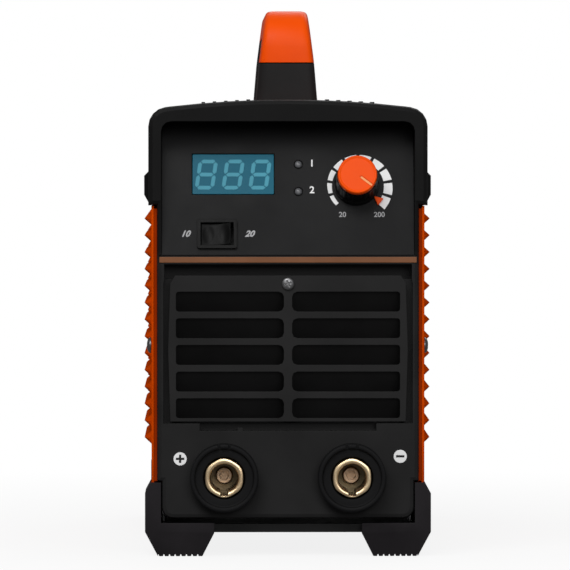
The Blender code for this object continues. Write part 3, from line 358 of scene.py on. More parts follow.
def lathe(profile, sides=64, place=Matrix(), shape=None):
    """A line of (radius, height) points turned about Z, running down its outer side.

    It is closed to a ring if it starts away from the axis. shape(radius, height, angle) may give
    each point another radius.
    """
    mesh = bmesh.new()
    rings = []
    for radius, height in profile:
        if radius == 0:
            rings.append([mesh.verts.new((0, 0, height))])
            continue
        points = []
        for side in range(sides):
            angle = TAU * side / sides
            own = shape(radius, height, angle) if shape else radius
            points.append(mesh.verts.new((own * math.cos(angle), own * math.sin(angle), height)))
        rings.append(points)
    pairs = list(zip(rings, rings[1:]))
    if profile[0][0] > 0:
        pairs.append((rings[-1], rings[0]))
    for upper, lower in pairs:
        for side in range(sides):
            after = side + 1
            corners = (
                upper[side % len(upper)],
                lower[side % len(lower)],
                lower[after % len(lower)],
                upper[after % len(upper)],
            )
            mesh.faces.new(list(dict.fromkeys(corners)))
    return to_mesh(mesh, place)


def to_mesh(shape, place=Matrix()):
    bmesh.ops.recalc_face_normals(shape, faces=shape.faces)
    mesh = bpy.data.meshes.new("shape")
    shape.to_mesh(mesh)
    shape.free()
    mesh.transform(place)
    return mesh


# An outline's own X, Y and depth, stood up so that the depth lies along the named axis.
STAND = {
    "X": Matrix(((0, 0, 1), (1, 0, 0), (0, 1, 0))).to_4x4(),
    "Y": Matrix(((1, 0, 0), (0, 0, -1), (0, 1, 0))).to_4x4(),
    "Z": Matrix.Identity(4),
}


def plate(loops, low, high, place=Matrix(), axis="Z"):
    """Flat outlines extruded along axis from low to high; a loop inside another is a hole."""
    curve = bpy.data.curves.new("plate", "CURVE")
    curve.dimensions = "2D"
    curve.fill_mode = "BOTH"
    curve.extrude = (high - low) / 2
    for loop in loops:
        spline = curve.splines.new("POLY")
        spline.points.add(len(loop) - 1)
        spline.use_cyclic_u = True
        for point, (u, v) in zip(spline.points, loop):
            point.co = (u, v, 0, 1)
    mesh = from_curve(curve)
    shape = bmesh.new()
    shape.from_mesh(mesh)
    bmesh.ops.remove_doubles(shape, verts=shape.verts, dist=0.002 * mm)
    if len(loops) == 1:
        bmesh.ops.dissolve_limit(shape, angle_limit=0.001, verts=shape.verts, edges=shape.edges)
    centre = Vector([(low + high) / 2 if letter == axis else 0 for letter in "XYZ"])
    return to_mesh(shape, place @ Matrix.Translation(centre) @ STAND[axis])


def from_curve(curve):
    """The mesh of a curve or a text."""
    obj = bpy.data.objects.new("curve", curve)
    bpy.context.scene.collection.objects.link(obj)
    graph = bpy.context.evaluated_depsgraph_get()
    mesh = bpy.data.meshes.new_from_object(obj.evaluated_get(graph))
    bpy.data.objects.remove(obj)
    return mesh


def wire(points, radius, closed=False, place=Matrix()):
    """A round wire through points."""
    curve = bpy.data.curves.new("wire", "CURVE")
    curve.dimensions = "3D"
    curve.bevel_depth = radius
    curve.bevel_resolution = 3
    curve.use_fill_caps = True
    spline = curve.splines.new("POLY")
    spline.points.add(len(points) - 1)
    spline.use_cyclic_u = closed
    for point, spot in zip(spline.points, points):
        point.co = (*spot, 1)
    mesh = from_curve(curve)
    mesh.transform(place)
    return mesh


def joined(meshes):
    """Several meshes as one."""
    shape = bmesh.new()
    for mesh in meshes:
        shape.from_mesh(mesh)
        bpy.data.meshes.remove(mesh)
    mesh = bpy.data.meshes.new("joined")
    shape.to_mesh(mesh)
    shape.free()
    return mesh


def boolean(mesh, tool, operation="DIFFERENCE"):
    """The mesh with another one cut away, or kept, or added."""
    holders = []
    for data in (mesh, tool):
        holder = bpy.data.objects.new("holder", data)
        bpy.context.scene.collection.objects.link(holder)
        holders.append(holder)
    modifier = holders[0].modifiers.new("boolean", "BOOLEAN")
    modifier.operation = operation
    modifier.object = holders[1]
    modifier.solver = "EXACT"
    graph = bpy.context.evaluated_depsgraph_get()
    result = bpy.data.meshes.new_from_object(holders[0].evaluated_get(graph))
    for holder in holders:
        bpy.data.objects.remove(holder)
    return result


def box(low, high, place=Matrix()):
    low, high = Vector(low), Vector(high)
    shape = bmesh.new()
    bmesh.ops.create_cube(shape, size=1, matrix=Matrix.LocRotScale((low + high) / 2, None, high - low))
    return to_mesh(shape, place)


def lettering(text, size, place, weight=0.0, lean=0.0):
    """Plain numbers as thin raised ink, centred on their place."""
    curve = bpy.data.curves.new("lettering", "FONT")
    curve.body = text
    curve.size = size
    curve.align_x = "CENTER"
    curve.align_y = "CENTER"
    curve.extrude = 0.02 * mm
    curve.offset = weight
    curve.shear = lean
    mesh = from_curve(curve)
    mesh.transform(place)
    return mesh


# ---- Pieces ----
def piece(name, mesh, material, body="housing", stands_for=(), soft=0.0, angle=35):
    """A visible piece that rides on a body. soft rounds its edges by that much."""
    obj = bpy.data.objects.new(name, mesh)
    bpy.context.scene.collection.objects.link(obj)
    mesh.materials.clear()
    mesh.materials.append(material)
    mesh.shade_smooth()
    mesh.set_sharp_from_angle(angle=math.radians(angle))
    if soft:
        soften(obj, soft)
    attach(obj, body)
    if stands_for:
        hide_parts(*stands_for)
    return obj


def soften(obj, width, segments=2, angle=35):
    bevel = obj.modifiers.new("soft_edges", "BEVEL")
    bevel.width = width
    bevel.segments = segments
    bevel.limit_method = "ANGLE"
    bevel.angle_limit = math.radians(angle)
    bevel.use_clamp_overlap = True
    bevel.harden_normals = True
    return obj


def dress(node, material, soft=0.0):
    """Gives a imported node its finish, and soft edges."""
    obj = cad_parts[node]
    obj.data.materials.clear()
    obj.data.materials.append(material)
    obj.data.shade_smooth()
    obj.data.set_sharp_from_angle(angle=math.radians(35))
    if soft:
        soften(obj, soft)
    return obj


# ---- Casing ----
def louvre_profile():
    """One louvre from its foot upwards, as (height above its foot, distance out of the sheet)."""
    return [
        (0.9 * mm, LOUVRE_MOUTH[0]),
        (2.2 * mm, LOUVRE_MOUTH[1]),
        (2.9 * mm, 3.2 * mm),
        (3.3 * mm, 3.6 * mm),
        (3.7 * mm, 3.3 * mm),
        (4.6 * mm, 2.3 * mm),
        (5.5 * mm, 1.3 * mm),
        (6.3 * mm, 0.45 * mm),
        (6.75 * mm, 0.08 * mm),
    ]


def casing_stations():
    """Points round the casing from the lower left edge to the lower right one.

    Each is (x, z, outward x, outward z, how far a louvre stands out there).
    """
    bottom = CASE_LOW.z
    right = [(WALL_X, bottom, 1, 0, 0.0)]
    for row in range(LOUVRE_ROWS):
        foot = LOUVRE_LOWEST + row * LOUVRE_PITCH - 4.35 * mm
        right.append((WALL_X, foot, 1, 0, 0.0))
        for height, out in louvre_profile():
            right.append((WALL_X, foot + height, 1, 0, out))
    corner_z = CASE_TOP - CASE_CORNER
    right.append((WALL_X, HOOD_BOTTOM - 0.3 * mm, 1, 0, 0.0))
    for step in range(9):
        angle = TAU / 4 * step / 8
        nx, nz = math.cos(angle), math.sin(angle)
        x = WALL_X - CASE_CORNER + CASE_CORNER * nx
        right.append((x, corner_z + CASE_CORNER * nz, nx, nz, 0.0))
    left = [(-x, z, -nx, nz, out) for x, z, nx, nz, out in reversed(right)]
    return right + left


def end_fade(y):
    """How far a louvre stands out at a place along the casing: 0 beyond its ends, 1 between them."""
    fade = 5 * mm
    for start in LOUVRE_GROUPS:
        inside = min(y - start, start + LOUVRE_LENGTH - y)
        if inside > -1e-6:
            share = max(0.0, min(1.0, inside / fade))
            return math.sqrt(1 - (1 - share) ** 2)
    return 0.0


def is_open(first, second, middle):
    """Whether the strip between two stations is a louvre's open mouth."""
    return sorted((first[4], second[4])) == LOUVRE_MOUTH and end_fade(middle) > 0.999


def casing_lengths():
    """Places along the casing, close together where a louvre's end is rounded."""
    front, back = CASE_LOW.y, CASE_HIGH.y
    places = [front, back, FACE_Y + HOOD_DEPTH, BACK_Y - HOOD_DEPTH]
    for start in LOUVRE_GROUPS:
        for step in range(7):
            bend = 5 * mm * (1 - math.cos(TAU / 4 * step / 6))
            places += [start + bend, start + LOUVRE_LENGTH - bend]
        places += [start + LOUVRE_LENGTH * share for share in (0.25, 0.5, 0.75)]
    return sorted(set(round(place, 7) for place in places))


def make_casing():
    """The sheet steel cover with its rows of pressed louvres, each open under its lip."""
    stations, lengths = casing_stations(), casing_lengths()
    shape = bmesh.new()
    rows = []
    for x, z, nx, nz, out in stations:
        row = []
        for y in lengths:
            stand = out * end_fade(y)
            row.append(shape.verts.new((x + nx * stand, y, z + nz * stand)))
        rows.append(row)
    for index, (lower, upper) in enumerate(zip(rows, rows[1:])):
        first, second = stations[index], stations[index + 1]
        for step in range(len(lengths) - 1):
            middle = (lengths[step] + lengths[step + 1]) / 2
            under_hood = min(first[1], second[1]) > HOOD_BOTTOM - 1 * mm
            beyond = not FACE_Y + HOOD_DEPTH < middle < BACK_Y - HOOD_DEPTH
            if is_open(first, second, middle) or (under_hood and beyond):
                continue
            corners = (lower[step], lower[step + 1], upper[step + 1], upper[step])
            shape.faces.new(corners)
    bmesh.ops.remove_doubles(shape, verts=shape.verts, dist=0.005 * mm)
    shape.faces.ensure_lookup_table()
    casing = piece("casing_cover", to_mesh(shape), ORANGE_PAINT, stands_for=["casing"], angle=50)
    outward = casing.data.polygons[0].normal.x * casing.data.polygons[0].center.x > 0
    thick = casing.modifiers.new("sheet", "SOLIDIFY")
    thick.thickness = SHEET
    thick.offset = -1 if outward else 1
    for y, inward in ((CASE_LOW.y, 1), (CASE_HIGH.y, -1)):
        for side in (-1, 1):
            across = sorted((side * (PANEL_HALF_WIDTH - 0.2 * mm), side * (WALL_X - 0.8 * mm)))
            along = sorted((y, y + inward * SHEET))
            hem = box((across[0], along[0], FOOT_TOP + 0.5 * mm), (across[1], along[1], 160.5 * mm))
            end = "front" if inward > 0 else "rear"
            hand = "left" if side < 0 else "right"
            # The hems take the darker copy of the orange paint, which is painted shade.
            piece(f"casing_hem_{end}_{hand}", hem, SHADED_HEM_PAINT, soft=0.3 * mm)


# ---- Panels and feet ----
def paint_shade_past(material, axis, start, end, share):
    """Paints shade into a material's colour: fades it to a share of itself, from one place along an axis to
    another.
    """
    tree = material.node_tree
    base = tree.nodes["Principled BSDF"].inputs["Base Color"]
    place = add(tree, "TexCoord").outputs["Object"]
    along = add(tree, "SeparateXYZ", Vector=place).outputs[axis]
    factor = remap(tree, along, 1.0, share, start, end)
    dimmed = add(tree, "VectorMath", {"operation": "SCALE"}, _0=base.links[0].from_socket, Scale=factor)
    tree.links.new(dimmed.outputs["Vector"], base)


def make_panels():
    # Painted shade: the front moulding fades to 0.4 of its colour above the control panel's foot, standing in
    # for the dark reflection and shade over the glossier hood and its recess.
    paint_shade_past(MOULDED_FRONT, "Z", CONTROL_BOTTOM, CONTROL_BOTTOM + 4 * mm, 0.4)
    dress("front_panel", MOULDED_FRONT, 0.45 * mm)
    dress("rear_panel", MOULDED, 0.45 * mm)
    dress("chassis_base", BLACK_STEEL, 0.3 * mm)


def make_foot(name, side, front):
    """A tapered corner foot with a toothed sole and walls round the corner of the casing."""
    teeth, pitch, depth = 8, 2.6 * mm, 0.9 * mm
    loop = [(34 * mm, 15.6 * mm), (34 * mm, 11 * mm), (39.5 * mm, 0)]
    for tooth in range(teeth):
        start = 39.5 * mm + tooth * pitch
        loop += [(start + 1.7 * mm, 0), (start + 1.95 * mm, depth)]
        loop += [(start + 2.35 * mm, depth), (start + pitch, 0)]
    loop = loop[:-1] + [(60 * mm, 0), (65.9 * mm, 11.5 * mm), (65.9 * mm, FOOT_TOP - 5 * mm)]
    loop += [(63.2 * mm, FOOT_TOP), (58.5 * mm, FOOT_TOP), (58.5 * mm, 15.6 * mm)]
    loop = [(side * x, z) for x, z in loop]
    low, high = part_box(name)
    foot = plate([loop], low.y, high.y, axis="Y")
    end, inward = (low.y, 1) if front else (high.y, -1)
    slope = [(-5, 11.5), (0, 11.5), (4.5, -0.2), (4.5, -5), (-5, -5)]
    slope = [(end + inward * y * mm, z * mm) for y, z in slope]
    foot = boolean(foot, plate([slope], -80 * mm, 80 * mm, axis="X"))
    wall = FACE_Y + 2.7 * mm
    inside = sorted((wall, -80 * mm)) if front else sorted((opposite(wall), opposite(-80 * mm)))
    across = sorted((0, side * (WALL_X + 0.3 * mm)))
    seat = box((across[0], inside[0], 10.8 * mm), (across[1], inside[1], 60 * mm))
    piece(name + "_block", boolean(foot, seat), FOOT_BLACK, stands_for=[name], soft=0.4 * mm)


def make_feet():
    for side, hand in ((-1, "left"), (1, "right")):
        make_foot(f"foot_front_{hand}", side, True)
        make_foot(f"foot_rear_{hand}", side, False)


# ---- Handle ----
def handle_half_width(z):
    """Half the width of the handle at a height: sloping sides, then round shoulders."""
    if z < HANDLE_SEAM:
        share = (z - CASE_TOP) / (HANDLE_SEAM - CASE_TOP)
        return 14.85 * mm + share * (13 * mm - 14.85 * mm)
    share = (z - HANDLE_SEAM) / (HANDLE_TOP - HANDLE_SEAM)
    return 13 * mm + share * (9.9 * mm - 13 * mm)


def handle_outlines():
    """The arch seen from the side, as its outer line and its inner line with as many points."""
    rear = opposite(HANDLE_FRONT)
    base = CASE_TOP + 0.3 * mm
    outer = rounded(
        [(HANDLE_FRONT, base), (HANDLE_FRONT, HANDLE_TOP, 17 * mm)]
        + [(rear, HANDLE_TOP, 17 * mm), (rear, base)],
        steps=10,
        closed=False,
    )
    gap = -69 * mm
    inner = rounded(
        [(gap, base), (gap, 234.5 * mm, 9 * mm), (opposite(gap), 234.5 * mm, 9 * mm), (opposite(gap), base)],
        steps=10,
        closed=False,
    )
    return subdivided(outer), subdivided(inner)


def subdivided(line):
    """The arch's line with points added on its legs and its bar."""
    points = [line[0]]
    for first, second in zip(line, line[1:]):
        length = (Vector(second) - Vector(first)).length
        parts = 10 if length > 60 * mm else 6 if length > 12 * mm else 1
        for part in range(1, parts + 1):
            share = part / parts
            points.append(tuple(Vector(first).lerp(Vector(second), share)))
    return points


def handle_solid():
    """The whole arch as one soft-edged solid."""
    outer, inner = handle_outlines()
    shape = bmesh.new()
    rings = []
    power = 8.0  # squareness of the section
    for out, inn in zip(outer, inner):
        ring = []
        for step in range(32):
            angle = TAU * step / 32
            c, s = math.cos(angle), math.sin(angle)
            across = math.copysign(abs(c) ** (2 / power), c)
            through = math.copysign(abs(s) ** (2 / power), s)
            share = (1 - through) / 2
            y = out[0] + (inn[0] - out[0]) * share
            z = out[1] + (inn[1] - out[1]) * share
            ring.append(shape.verts.new((across * handle_half_width(z), y, z)))
        rings.append(ring)
    for first, second in zip(rings, rings[1:]):
        for step in range(32):
            after = (step + 1) % 32
            shape.faces.new((first[step], first[after], second[after], second[step]))
    shape.faces.new(rings[0])
    shape.faces.new(rings[-1])
    return to_mesh(shape)


def grip_region(grow):
    """What belongs to the grip, seen from the side."""
    front, rear = HANDLE_FRONT - 10 * mm, opposite(HANDLE_FRONT - 10 * mm)
    drop = HANDLE_FRONT + 8 * mm + grow
    low, seam, top = HANDLE_SEAM - grow, GRIP_SEAM - grow, HANDLE_TOP + 10 * mm
    corners = [
        (front, low),
        (front, top),
        (rear, top),
        (rear, low),
        (opposite(drop), low),
        (opposite(drop), seam, 4 * mm),
        (drop, seam, 4 * mm),
        (drop, low),
    ]
    return plate([rounded(corners)], -40 * mm, 40 * mm, axis="X")


def make_handle():
    leg = boolean(handle_solid(), grip_region(0.4 * mm))
    piece("handle_arch", leg, MOULDED, stands_for=["handle_body"], soft=0.35 * mm, angle=45)
    grip = boolean(handle_solid(), grip_region(0.0), "INTERSECT")
    piece("handle_grip_cover", grip, ORANGE_PLASTIC, stands_for=["handle_grip"], soft=0.35 * mm, angle=45)


# ---- Control panel ----
def ring_piece(inner, outer, start, end, steps=8):
    """A stretch of a ring, whose outer edge may widen from outer[0] to outer[1]."""
    angles = [start + (end - start) * step / steps for step in range(steps + 1)]
    points = [(inner * math.cos(a), inner * math.sin(a)) for a in angles]
    for step in range(steps, -1, -1):
        radius = outer[0] + (outer[1] - outer[0]) * step / steps
        points.append((radius * math.cos(angles[step]), radius * math.sin(angles[step])))
    return points


def make_scale():
    """The printed scale round the knob: ten marks that widen clockwise."""
    first, last = math.radians(222), math.radians(-42.5)
    marks = 10
    gap = math.radians(5.5)
    span = (first - last - (marks - 1) * gap) / marks
    inner, narrow, wide = 12 * mm, 13.7 * mm, 16.5 * mm
    meshes = []
    for mark in range(marks):
        start = first - mark * (span + gap)
        ends = [narrow + (wide - narrow) * share / marks for share in (mark, mark + 1)]
        loop = ring_piece(inner, ends, start, start - span)
        meshes.append(plate([loop], 0.0, 0.05 * mm, at(CONTROL, *SCALE_AT)))
    piece("dial_scale", joined(meshes), WHITE_INK)
    for text, across in (("20", 25.2), ("200", 42.2)):
        place = at(CONTROL, across * mm, up_panel(157.6 * mm), 0.02 * mm)
        piece("dial_number_" + text, lettering(text, 3.4 * mm, place, 0.06 * mm), GREY_INK)


def make_panel_marks():
    for text, height in (("1", 181.2), ("2", 168.9)):
        place = at(CONTROL, 11.2 * mm, up_panel(height * mm), 0.02 * mm)
        piece("lamp_number_" + text, lettering(text, 4.6 * mm, place, 0.12 * mm), WHITE_INK)
    for text, across in (("10", -47.4), ("20", -17.8)):
        place = at(CONTROL, across * mm, up_panel(148.8 * mm), 0.02 * mm)
        piece("switch_number_" + text, lettering(text, 4.0 * mm, place, 0.16 * mm, 0.4), GREY_INK)


def segment(length, width, place):
    """One bar of a digit, pointed at both ends."""
    half = width / 2
    loop = [
        (-length / 2, 0),
        (-length / 2 + half, -half),
        (length / 2 - half, -half),
        (length / 2, 0),
        (length / 2 - half, half),
        (-length / 2 + half, half),
    ]
    return plate([loop], 0.0, 0.06 * mm, place)


def make_display():
    """The tinted window with three slanted seven-segment figures."""
    window = plate([rectangle(18.8 * mm, 9.6 * mm, 0.5 * mm)], -2.6 * mm, -0.2 * mm, at(CONTROL, *DISPLAY_AT))
    piece("display_glass", window, WINDOW, stands_for=["display_window"], soft=0.2 * mm)
    slant = Matrix.Identity(4)
    slant[0][1] = math.tan(math.radians(8))
    width, half_height, bar = 7.2 * mm, 6.3 * mm, 1.9 * mm
    meshes = []
    for digit in (-1, 0, 1):
        base = at(CONTROL, DISPLAY_AT[0] + digit * 12.4 * mm, DISPLAY_AT[1] - 0.2 * mm, -0.18 * mm) @ slant
        for level in (-1, 0, 1):
            place = base @ Matrix.Translation((0, level * half_height, 0))
            meshes.append(segment(width - 0.4 * mm, bar, place))
        for side in (-1, 1):
            for level in (-0.5, 0.5):
                turn = Matrix.Rotation(TAU / 4, 4, "Z")
                place = base @ Matrix.Translation((side * width / 2, level * half_height, 0)) @ turn
                meshes.append(segment(half_height - 0.4 * mm, bar, place))
    piece("display_digits", joined(meshes), DIGIT)


def make_lamps():
    for name, spot in LAMPS_AT.items():
        dome = in_mm((0, 0.75), (0.7, 0.68), (1.25, 0.45), (1.6, 0.1), (1.65, -1), (1.65, -9), (0, -9))
        lens = lathe(dome, 32, at(CONTROL, *spot))
        piece("lamp_lens_" + name, lens, LENS, stands_for=["indicator_" + name])
        bezel = in_mm((2.05, 0.35), (2.2, 0.2), (2.2, -0.4), (1.72, -0.4), (1.72, 0.2), (1.85, 0.35))
        piece("lamp_ring_" + name, lathe(bezel, 32, at(CONTROL, *spot)), SMOOTH_BLACK)


def make_knob():
    """The current knob: fluted grip, flat orange face with its line, and a pointer on the skirt."""
    place = at(CONTROL, *KNOB_AT)
    flutes = 24

    def fluted(radius, height, angle):
        if not 4 * mm < height < 12.4 * mm or radius < 8 * mm:
            return radius
        return radius - 0.32 * mm * (0.5 + 0.5 * math.cos(flutes * angle)) ** 2

    body = in_mm(
        (0, 13.2), (8.6, 13.2), (9.1, 13.0), (9.35, 12.5), (9.4, 12.0), (9.6, 7), (9.7, 4.2),
        (9.75, 3.6), (10.2, 3.0), (10.4, 2.6), (10.4, 0.5), (3.3, 0.5), (3.3, 11.4), (0, 11.4),
    )
    grip = lathe(body, 240, place, fluted)
    piece("knob_grip", grip, SMOOTH_BLACK, "knob", stands_for=["current_knob"])
    face = in_mm(
        (0, 16.1), (7.7, 16.1), (8.05, 16.35), (8.5, 16.4), (8.85, 16.2), (9.05, 15.8),
        (9.1, 15.2), (9.1, 13.6), (8.9, 13.4), (0, 13.4),
    )
    turned = place @ Matrix.Rotation(POINTER_ANGLE, 4, "Z")
    cap = lathe(face, 96, place)
    groove = plate([rectangle(3.6 * mm, 0.65 * mm, 0.6 * mm, (5.2 * mm, 0))], 15.75 * mm, 18 * mm, turned)
    piece("knob_face", boolean(cap, groove), ORANGE_PLASTIC, "knob", stands_for=["knob_cap"])
    line = plate([rectangle(3.3 * mm, 0.52 * mm, 0.5 * mm, (5.2 * mm, 0))], 15.7 * mm, 15.95 * mm, turned)
    piece("knob_line", line, PALE_ORANGE, "knob")
    tip = in_mm((9.9, 0), (14.2, -2.3), (14.2, 1.9))
    wedge = plate([tip], 0.55 * mm, 1.6 * mm, turned)
    piece("knob_pointer", wedge, ORANGE_PLASTIC, "knob", soft=0.2 * mm)


def make_control_panel():
    dress("control_overlay", FILM)
    dress("accent_strip", ACCENT, 0.2 * mm)
    make_scale()
    make_panel_marks()
    make_display()
    make_lamps()
    make_knob()


# ---- Rocker switches ----
def make_rocker(name, body, place, half_length, half_width, angle):
    """A switch rocker with two dished halves, lying at its rest angle."""
    reach, half = half_length - 1.7 * mm, half_width - 1.2 * mm
    columns, rows = 28, 14
    taper = 0.94  # the underside is a little shorter than the face
    shape = bmesh.new()

    def top(u, v):
        """Height of the rocker's face: two shallow dishes that meet in a ridge."""
        along = u / reach
        rise = 2.0 * mm + 1.3 * mm * along * along
        dish = 0.55 * mm * max(0.0, 1 - ((abs(along) - 0.55) / 0.4) ** 2 - (v / half / 0.9) ** 2)
        return rise - dish

    upper, lower = [], []
    for i in range(columns + 1):
        u = -reach + 2 * reach * i / columns
        across = [-half + 2 * half * j / rows for j in range(rows + 1)]
        upper.append([shape.verts.new((u, v, top(u, v))) for v in across])
        floor = max(-3.2 * mm, 0.2 * mm - (reach - abs(u)) * 1.1)
        lower.append([shape.verts.new((u * taper, v, floor)) for v in across])
    for i in range(columns):
        for j in range(rows):
            shape.faces.new((upper[i][j], upper[i + 1][j], upper[i + 1][j + 1], upper[i][j + 1]))
            shape.faces.new((lower[i][j], lower[i][j + 1], lower[i + 1][j + 1], lower[i + 1][j]))
        for j in (0, rows):
            shape.faces.new((upper[i][j], lower[i][j], lower[i + 1][j], upper[i + 1][j]))
    for j in range(rows):
        for i in (0, columns):
            shape.faces.new((upper[i][j], upper[i][j + 1], lower[i][j + 1], lower[i][j]))
    pivot = place @ Matrix.Translation((0, 0, -2 * mm)) @ Matrix.Rotation(-angle, 4, "Y")
    rocker = to_mesh(shape, pivot)
    return piece(name + "_cap", rocker, SMOOTH_BLACK, body, stands_for=[name + "_rocker"], soft=0.25 * mm)


def make_switches():
    dress("mode_switch_housing", SMOOTH_BLACK, 0.3 * mm)
    dress("power_switch_housing", SMOOTH_BLACK, 0.4 * mm)
    tip = math.radians(10)
    make_rocker("mode_switch", "mode_rocker", at(CONTROL, *MODE_SWITCH_AT), 8.5 * mm, 6.3 * mm, tip)
    power = at(REAR, *POWER_SWITCH_AT, turn=TAU / 4)
    make_rocker("power_switch", "power_rocker", power, 13 * mm, 10 * mm, tip)
    on_bar = rectangle(0.35 * mm, 2 * mm, 0.3 * mm)
    off_ring = [circle(2 * mm), circle(1.4 * mm)]
    tilted = power @ Matrix.Translation((0, 0, -2 * mm)) @ Matrix.Rotation(-tip, 4, "Y")
    for loops, along in (([on_bar], 6.2 * mm), (off_ring, -6.2 * mm)):
        name = "power_mark_on" if along > 0 else "power_mark_off"
        spot = tilted @ Matrix.Translation((along, 0, 1.9 * mm)) @ Matrix.Rotation(TAU / 4, 4, "Z")
        mark = plate(loops, 0, 0.08 * mm, spot)
        piece(name, mark, WHITE_INK, "power_rocker")


# ---- Screws ----
def screw_head(radius, height, place, hex_drive=False):
    """A domed screw head with a cross recess, or a cylinder head with a hexagon socket."""
    if hex_drive:
        profile = [(0, height), (radius * 0.86, height), (radius, height * 0.86), (radius, 0), (0, 0)]
        recess = plate([circle(radius * 0.56, 6)], height * 0.35, height * 2, place)
        return boolean(lathe(profile, 48, place), recess)
    profile = [(0, height)]
    for step in range(1, 6):
        angle = TAU / 4 * step / 6
        profile.append((radius * math.sin(angle), height * (0.25 + 0.75 * math.cos(angle))))
    profile += [(radius, height * 0.2), (radius, 0), (0, 0)]
    head = lathe(profile, 40, place)
    for turn in (0.4, 0.4 + TAU / 4):
        turned = place @ Matrix.Rotation(turn, 4, "Z")
        bar = plate([rectangle(radius * 0.56, radius * 0.13)], height * 0.35, height * 2, turned)
        head = boolean(head, bar)
    return head


def screw(name, node, head_radius, head_height, radius, length, place):
    """A whole screw: its head, and the shank that runs back from it."""
    head = screw_head(head_radius, head_height, place)
    shank = lathe([(0, 0.3 * mm), (radius, 0.3 * mm), (radius, -length), (0, -length)], 24, place)
    piece(name, joined([head, shank]), STEEL, stands_for=[node])


def make_screws():
    in_grille = at(FRONT, 0, 126 * mm, -0.1 * mm)
    screw("grille_bolt", "grille_screw", 2.9 * mm, 1.5 * mm, 1.5 * mm, 10.9 * mm, in_grille)
    for end, y in (("front", SIDE_SCREW_Y), ("rear", opposite(SIDE_SCREW_Y))):
        for hand, side in (("left", -1), ("right", 1)):
            spot = Vector((side * (WALL_X + 0.3 * mm), y, SIDE_SCREW_Z))
            place = Matrix.Translation(spot) @ Matrix.Rotation(side * TAU / 4, 4, "Y")
            name, node = f"casing_bolt_{end}_{hand}", f"casing_screw_{end}_{hand}"
            screw(name, node, 3.6 * mm, 2.0 * mm, 1.9 * mm, 6.2 * mm, place)


# ---- Grille and sockets ----
def make_grille():
    dress("vent_grille", MOULDED, 0.35 * mm)


def make_socket(name, side):
    """A panel socket: soft black collar with key notches, brass contact and its bolt."""
    place = at(FRONT, side * SOCKET_X, SOCKET_Z)
    collar = in_mm(
        (14.9, 8.0), (15.4, 7.8), (15.75, 7.3), (15.75, 0.3), (12.9, 0.3), (12.9, -17.9),
        (9.6, -17.9), (9.6, 5.6), (9.9, 6.1), (10.4, 6.2), (13.0, 6.2), (13.4, 6.5), (13.7, 7.7),
        (14.2, 8.0),
    )
    body = lathe(collar, 96, place)
    for turn in (-0.16, 0.16):
        turned = place @ Matrix.Rotation(turn, 4, "Z")
        body = boolean(body, box((-0.6 * mm, 12.6 * mm, 6.6 * mm), (0.6 * mm, 17 * mm, 9 * mm), turned))
    piece("socket_collar_" + name, body, SOFT_BLACK, stands_for=["socket_body_" + name], soft=0.15 * mm)

    def hexagonal(radius, height, angle):
        """The contact's front rim is a hexagon with well rounded corners."""
        if radius < 7.9 * mm or height < 5 * mm:
            return radius
        return radius * (1 - 0.035 * (0.5 + 0.5 * math.cos(6 * angle)))

    contact = in_mm(
        (7.3, 7.0), (8.3, 7.0), (8.9, 6.8), (9.2, 6.2), (9.2, -18.3), (12.5, -18.3), (12.5, -24),
        (3.3, -24), (3.3, -18), (6.5, -18), (6.5, 6.1), (6.8, 6.7),
    )
    key = box((-1.8 * mm, -8.2 * mm, -17.9 * mm), (1.8 * mm, -5 * mm, 9 * mm), place)
    brass = boolean(lathe(contact, 96, place, hexagonal), key)
    piece("socket_liner_" + name, brass, CONTACT_BRASS, stands_for=["socket_contact_" + name], soft=0.12 * mm)
    head = screw_head(4 * mm, 4.5 * mm, place @ Matrix.Translation((0, 0, -17.7 * mm)), hex_drive=True)
    shank = lathe([(0, -17.7 * mm), (3 * mm, -17.7 * mm), (3 * mm, -34 * mm), (0, -34 * mm)], 32, place)
    piece("socket_screw_" + name, joined([head, shank]), YELLOW_ZINC, stands_for=["socket_bolt_" + name])


def make_sockets():
    # Painted shade: the contact brass fades to 0.22 of its colour going back into the bore, where shade
    # falls.
    paint_shade_past(CONTACT_BRASS, "Y", FACE_Y - 6 * mm, FACE_Y + 2 * mm, 0.22)
    make_socket("positive", -1)
    make_socket("negative", 1)


def make_polarity_marks():
    """A white disc beside each socket, with a cross or a bar left dark."""
    reach, half = 1.9 * mm, 0.5 * mm
    bar = rectangle(reach, half)
    arm = [(half, half), (half, reach), (-half, reach)]
    cross = []
    for quarter in range(4):
        c, s = round(math.cos(TAU / 4 * quarter)), round(math.sin(TAU / 4 * quarter))
        cross += [(u * c - v * s, u * s + v * c) for u, v in arm]
    marks = (("positive", cross, (-49.7 * mm, 45.3 * mm)), ("negative", bar, (51.7 * mm, 46.4 * mm)))
    for name, mark, spot in marks:
        disc = plate([circle(3.05 * mm, 48), mark], 0, 0.06 * mm, at(FRONT, *spot))
        piece("polarity_" + name, disc, WHITE_INK)


# ---- Back of the machine ----
def make_fan_guard():
    """Wire rings on crossed wires."""
    place = at(REAR, 0, FAN_Z)
    meshes = []
    for radius in (13, 20, 27, 34, 41, 46):
        ring = [(*point, 1.7 * mm) for point in circle(radius * mm, 64)]
        meshes.append(wire(ring, 0.75 * mm, True, place))
    for turn in (TAU / 8, 3 * TAU / 8):
        c, s = math.cos(turn), math.sin(turn)
        ends = [(reach * c, reach * s, 1.0 * mm) for reach in (-46.6 * mm, 46.6 * mm)]
        meshes.append(wire(ends, 0.7 * mm, False, place))
    piece("fan_guard_wires", joined(meshes), BLACK_STEEL, stands_for=["fan_guard"])


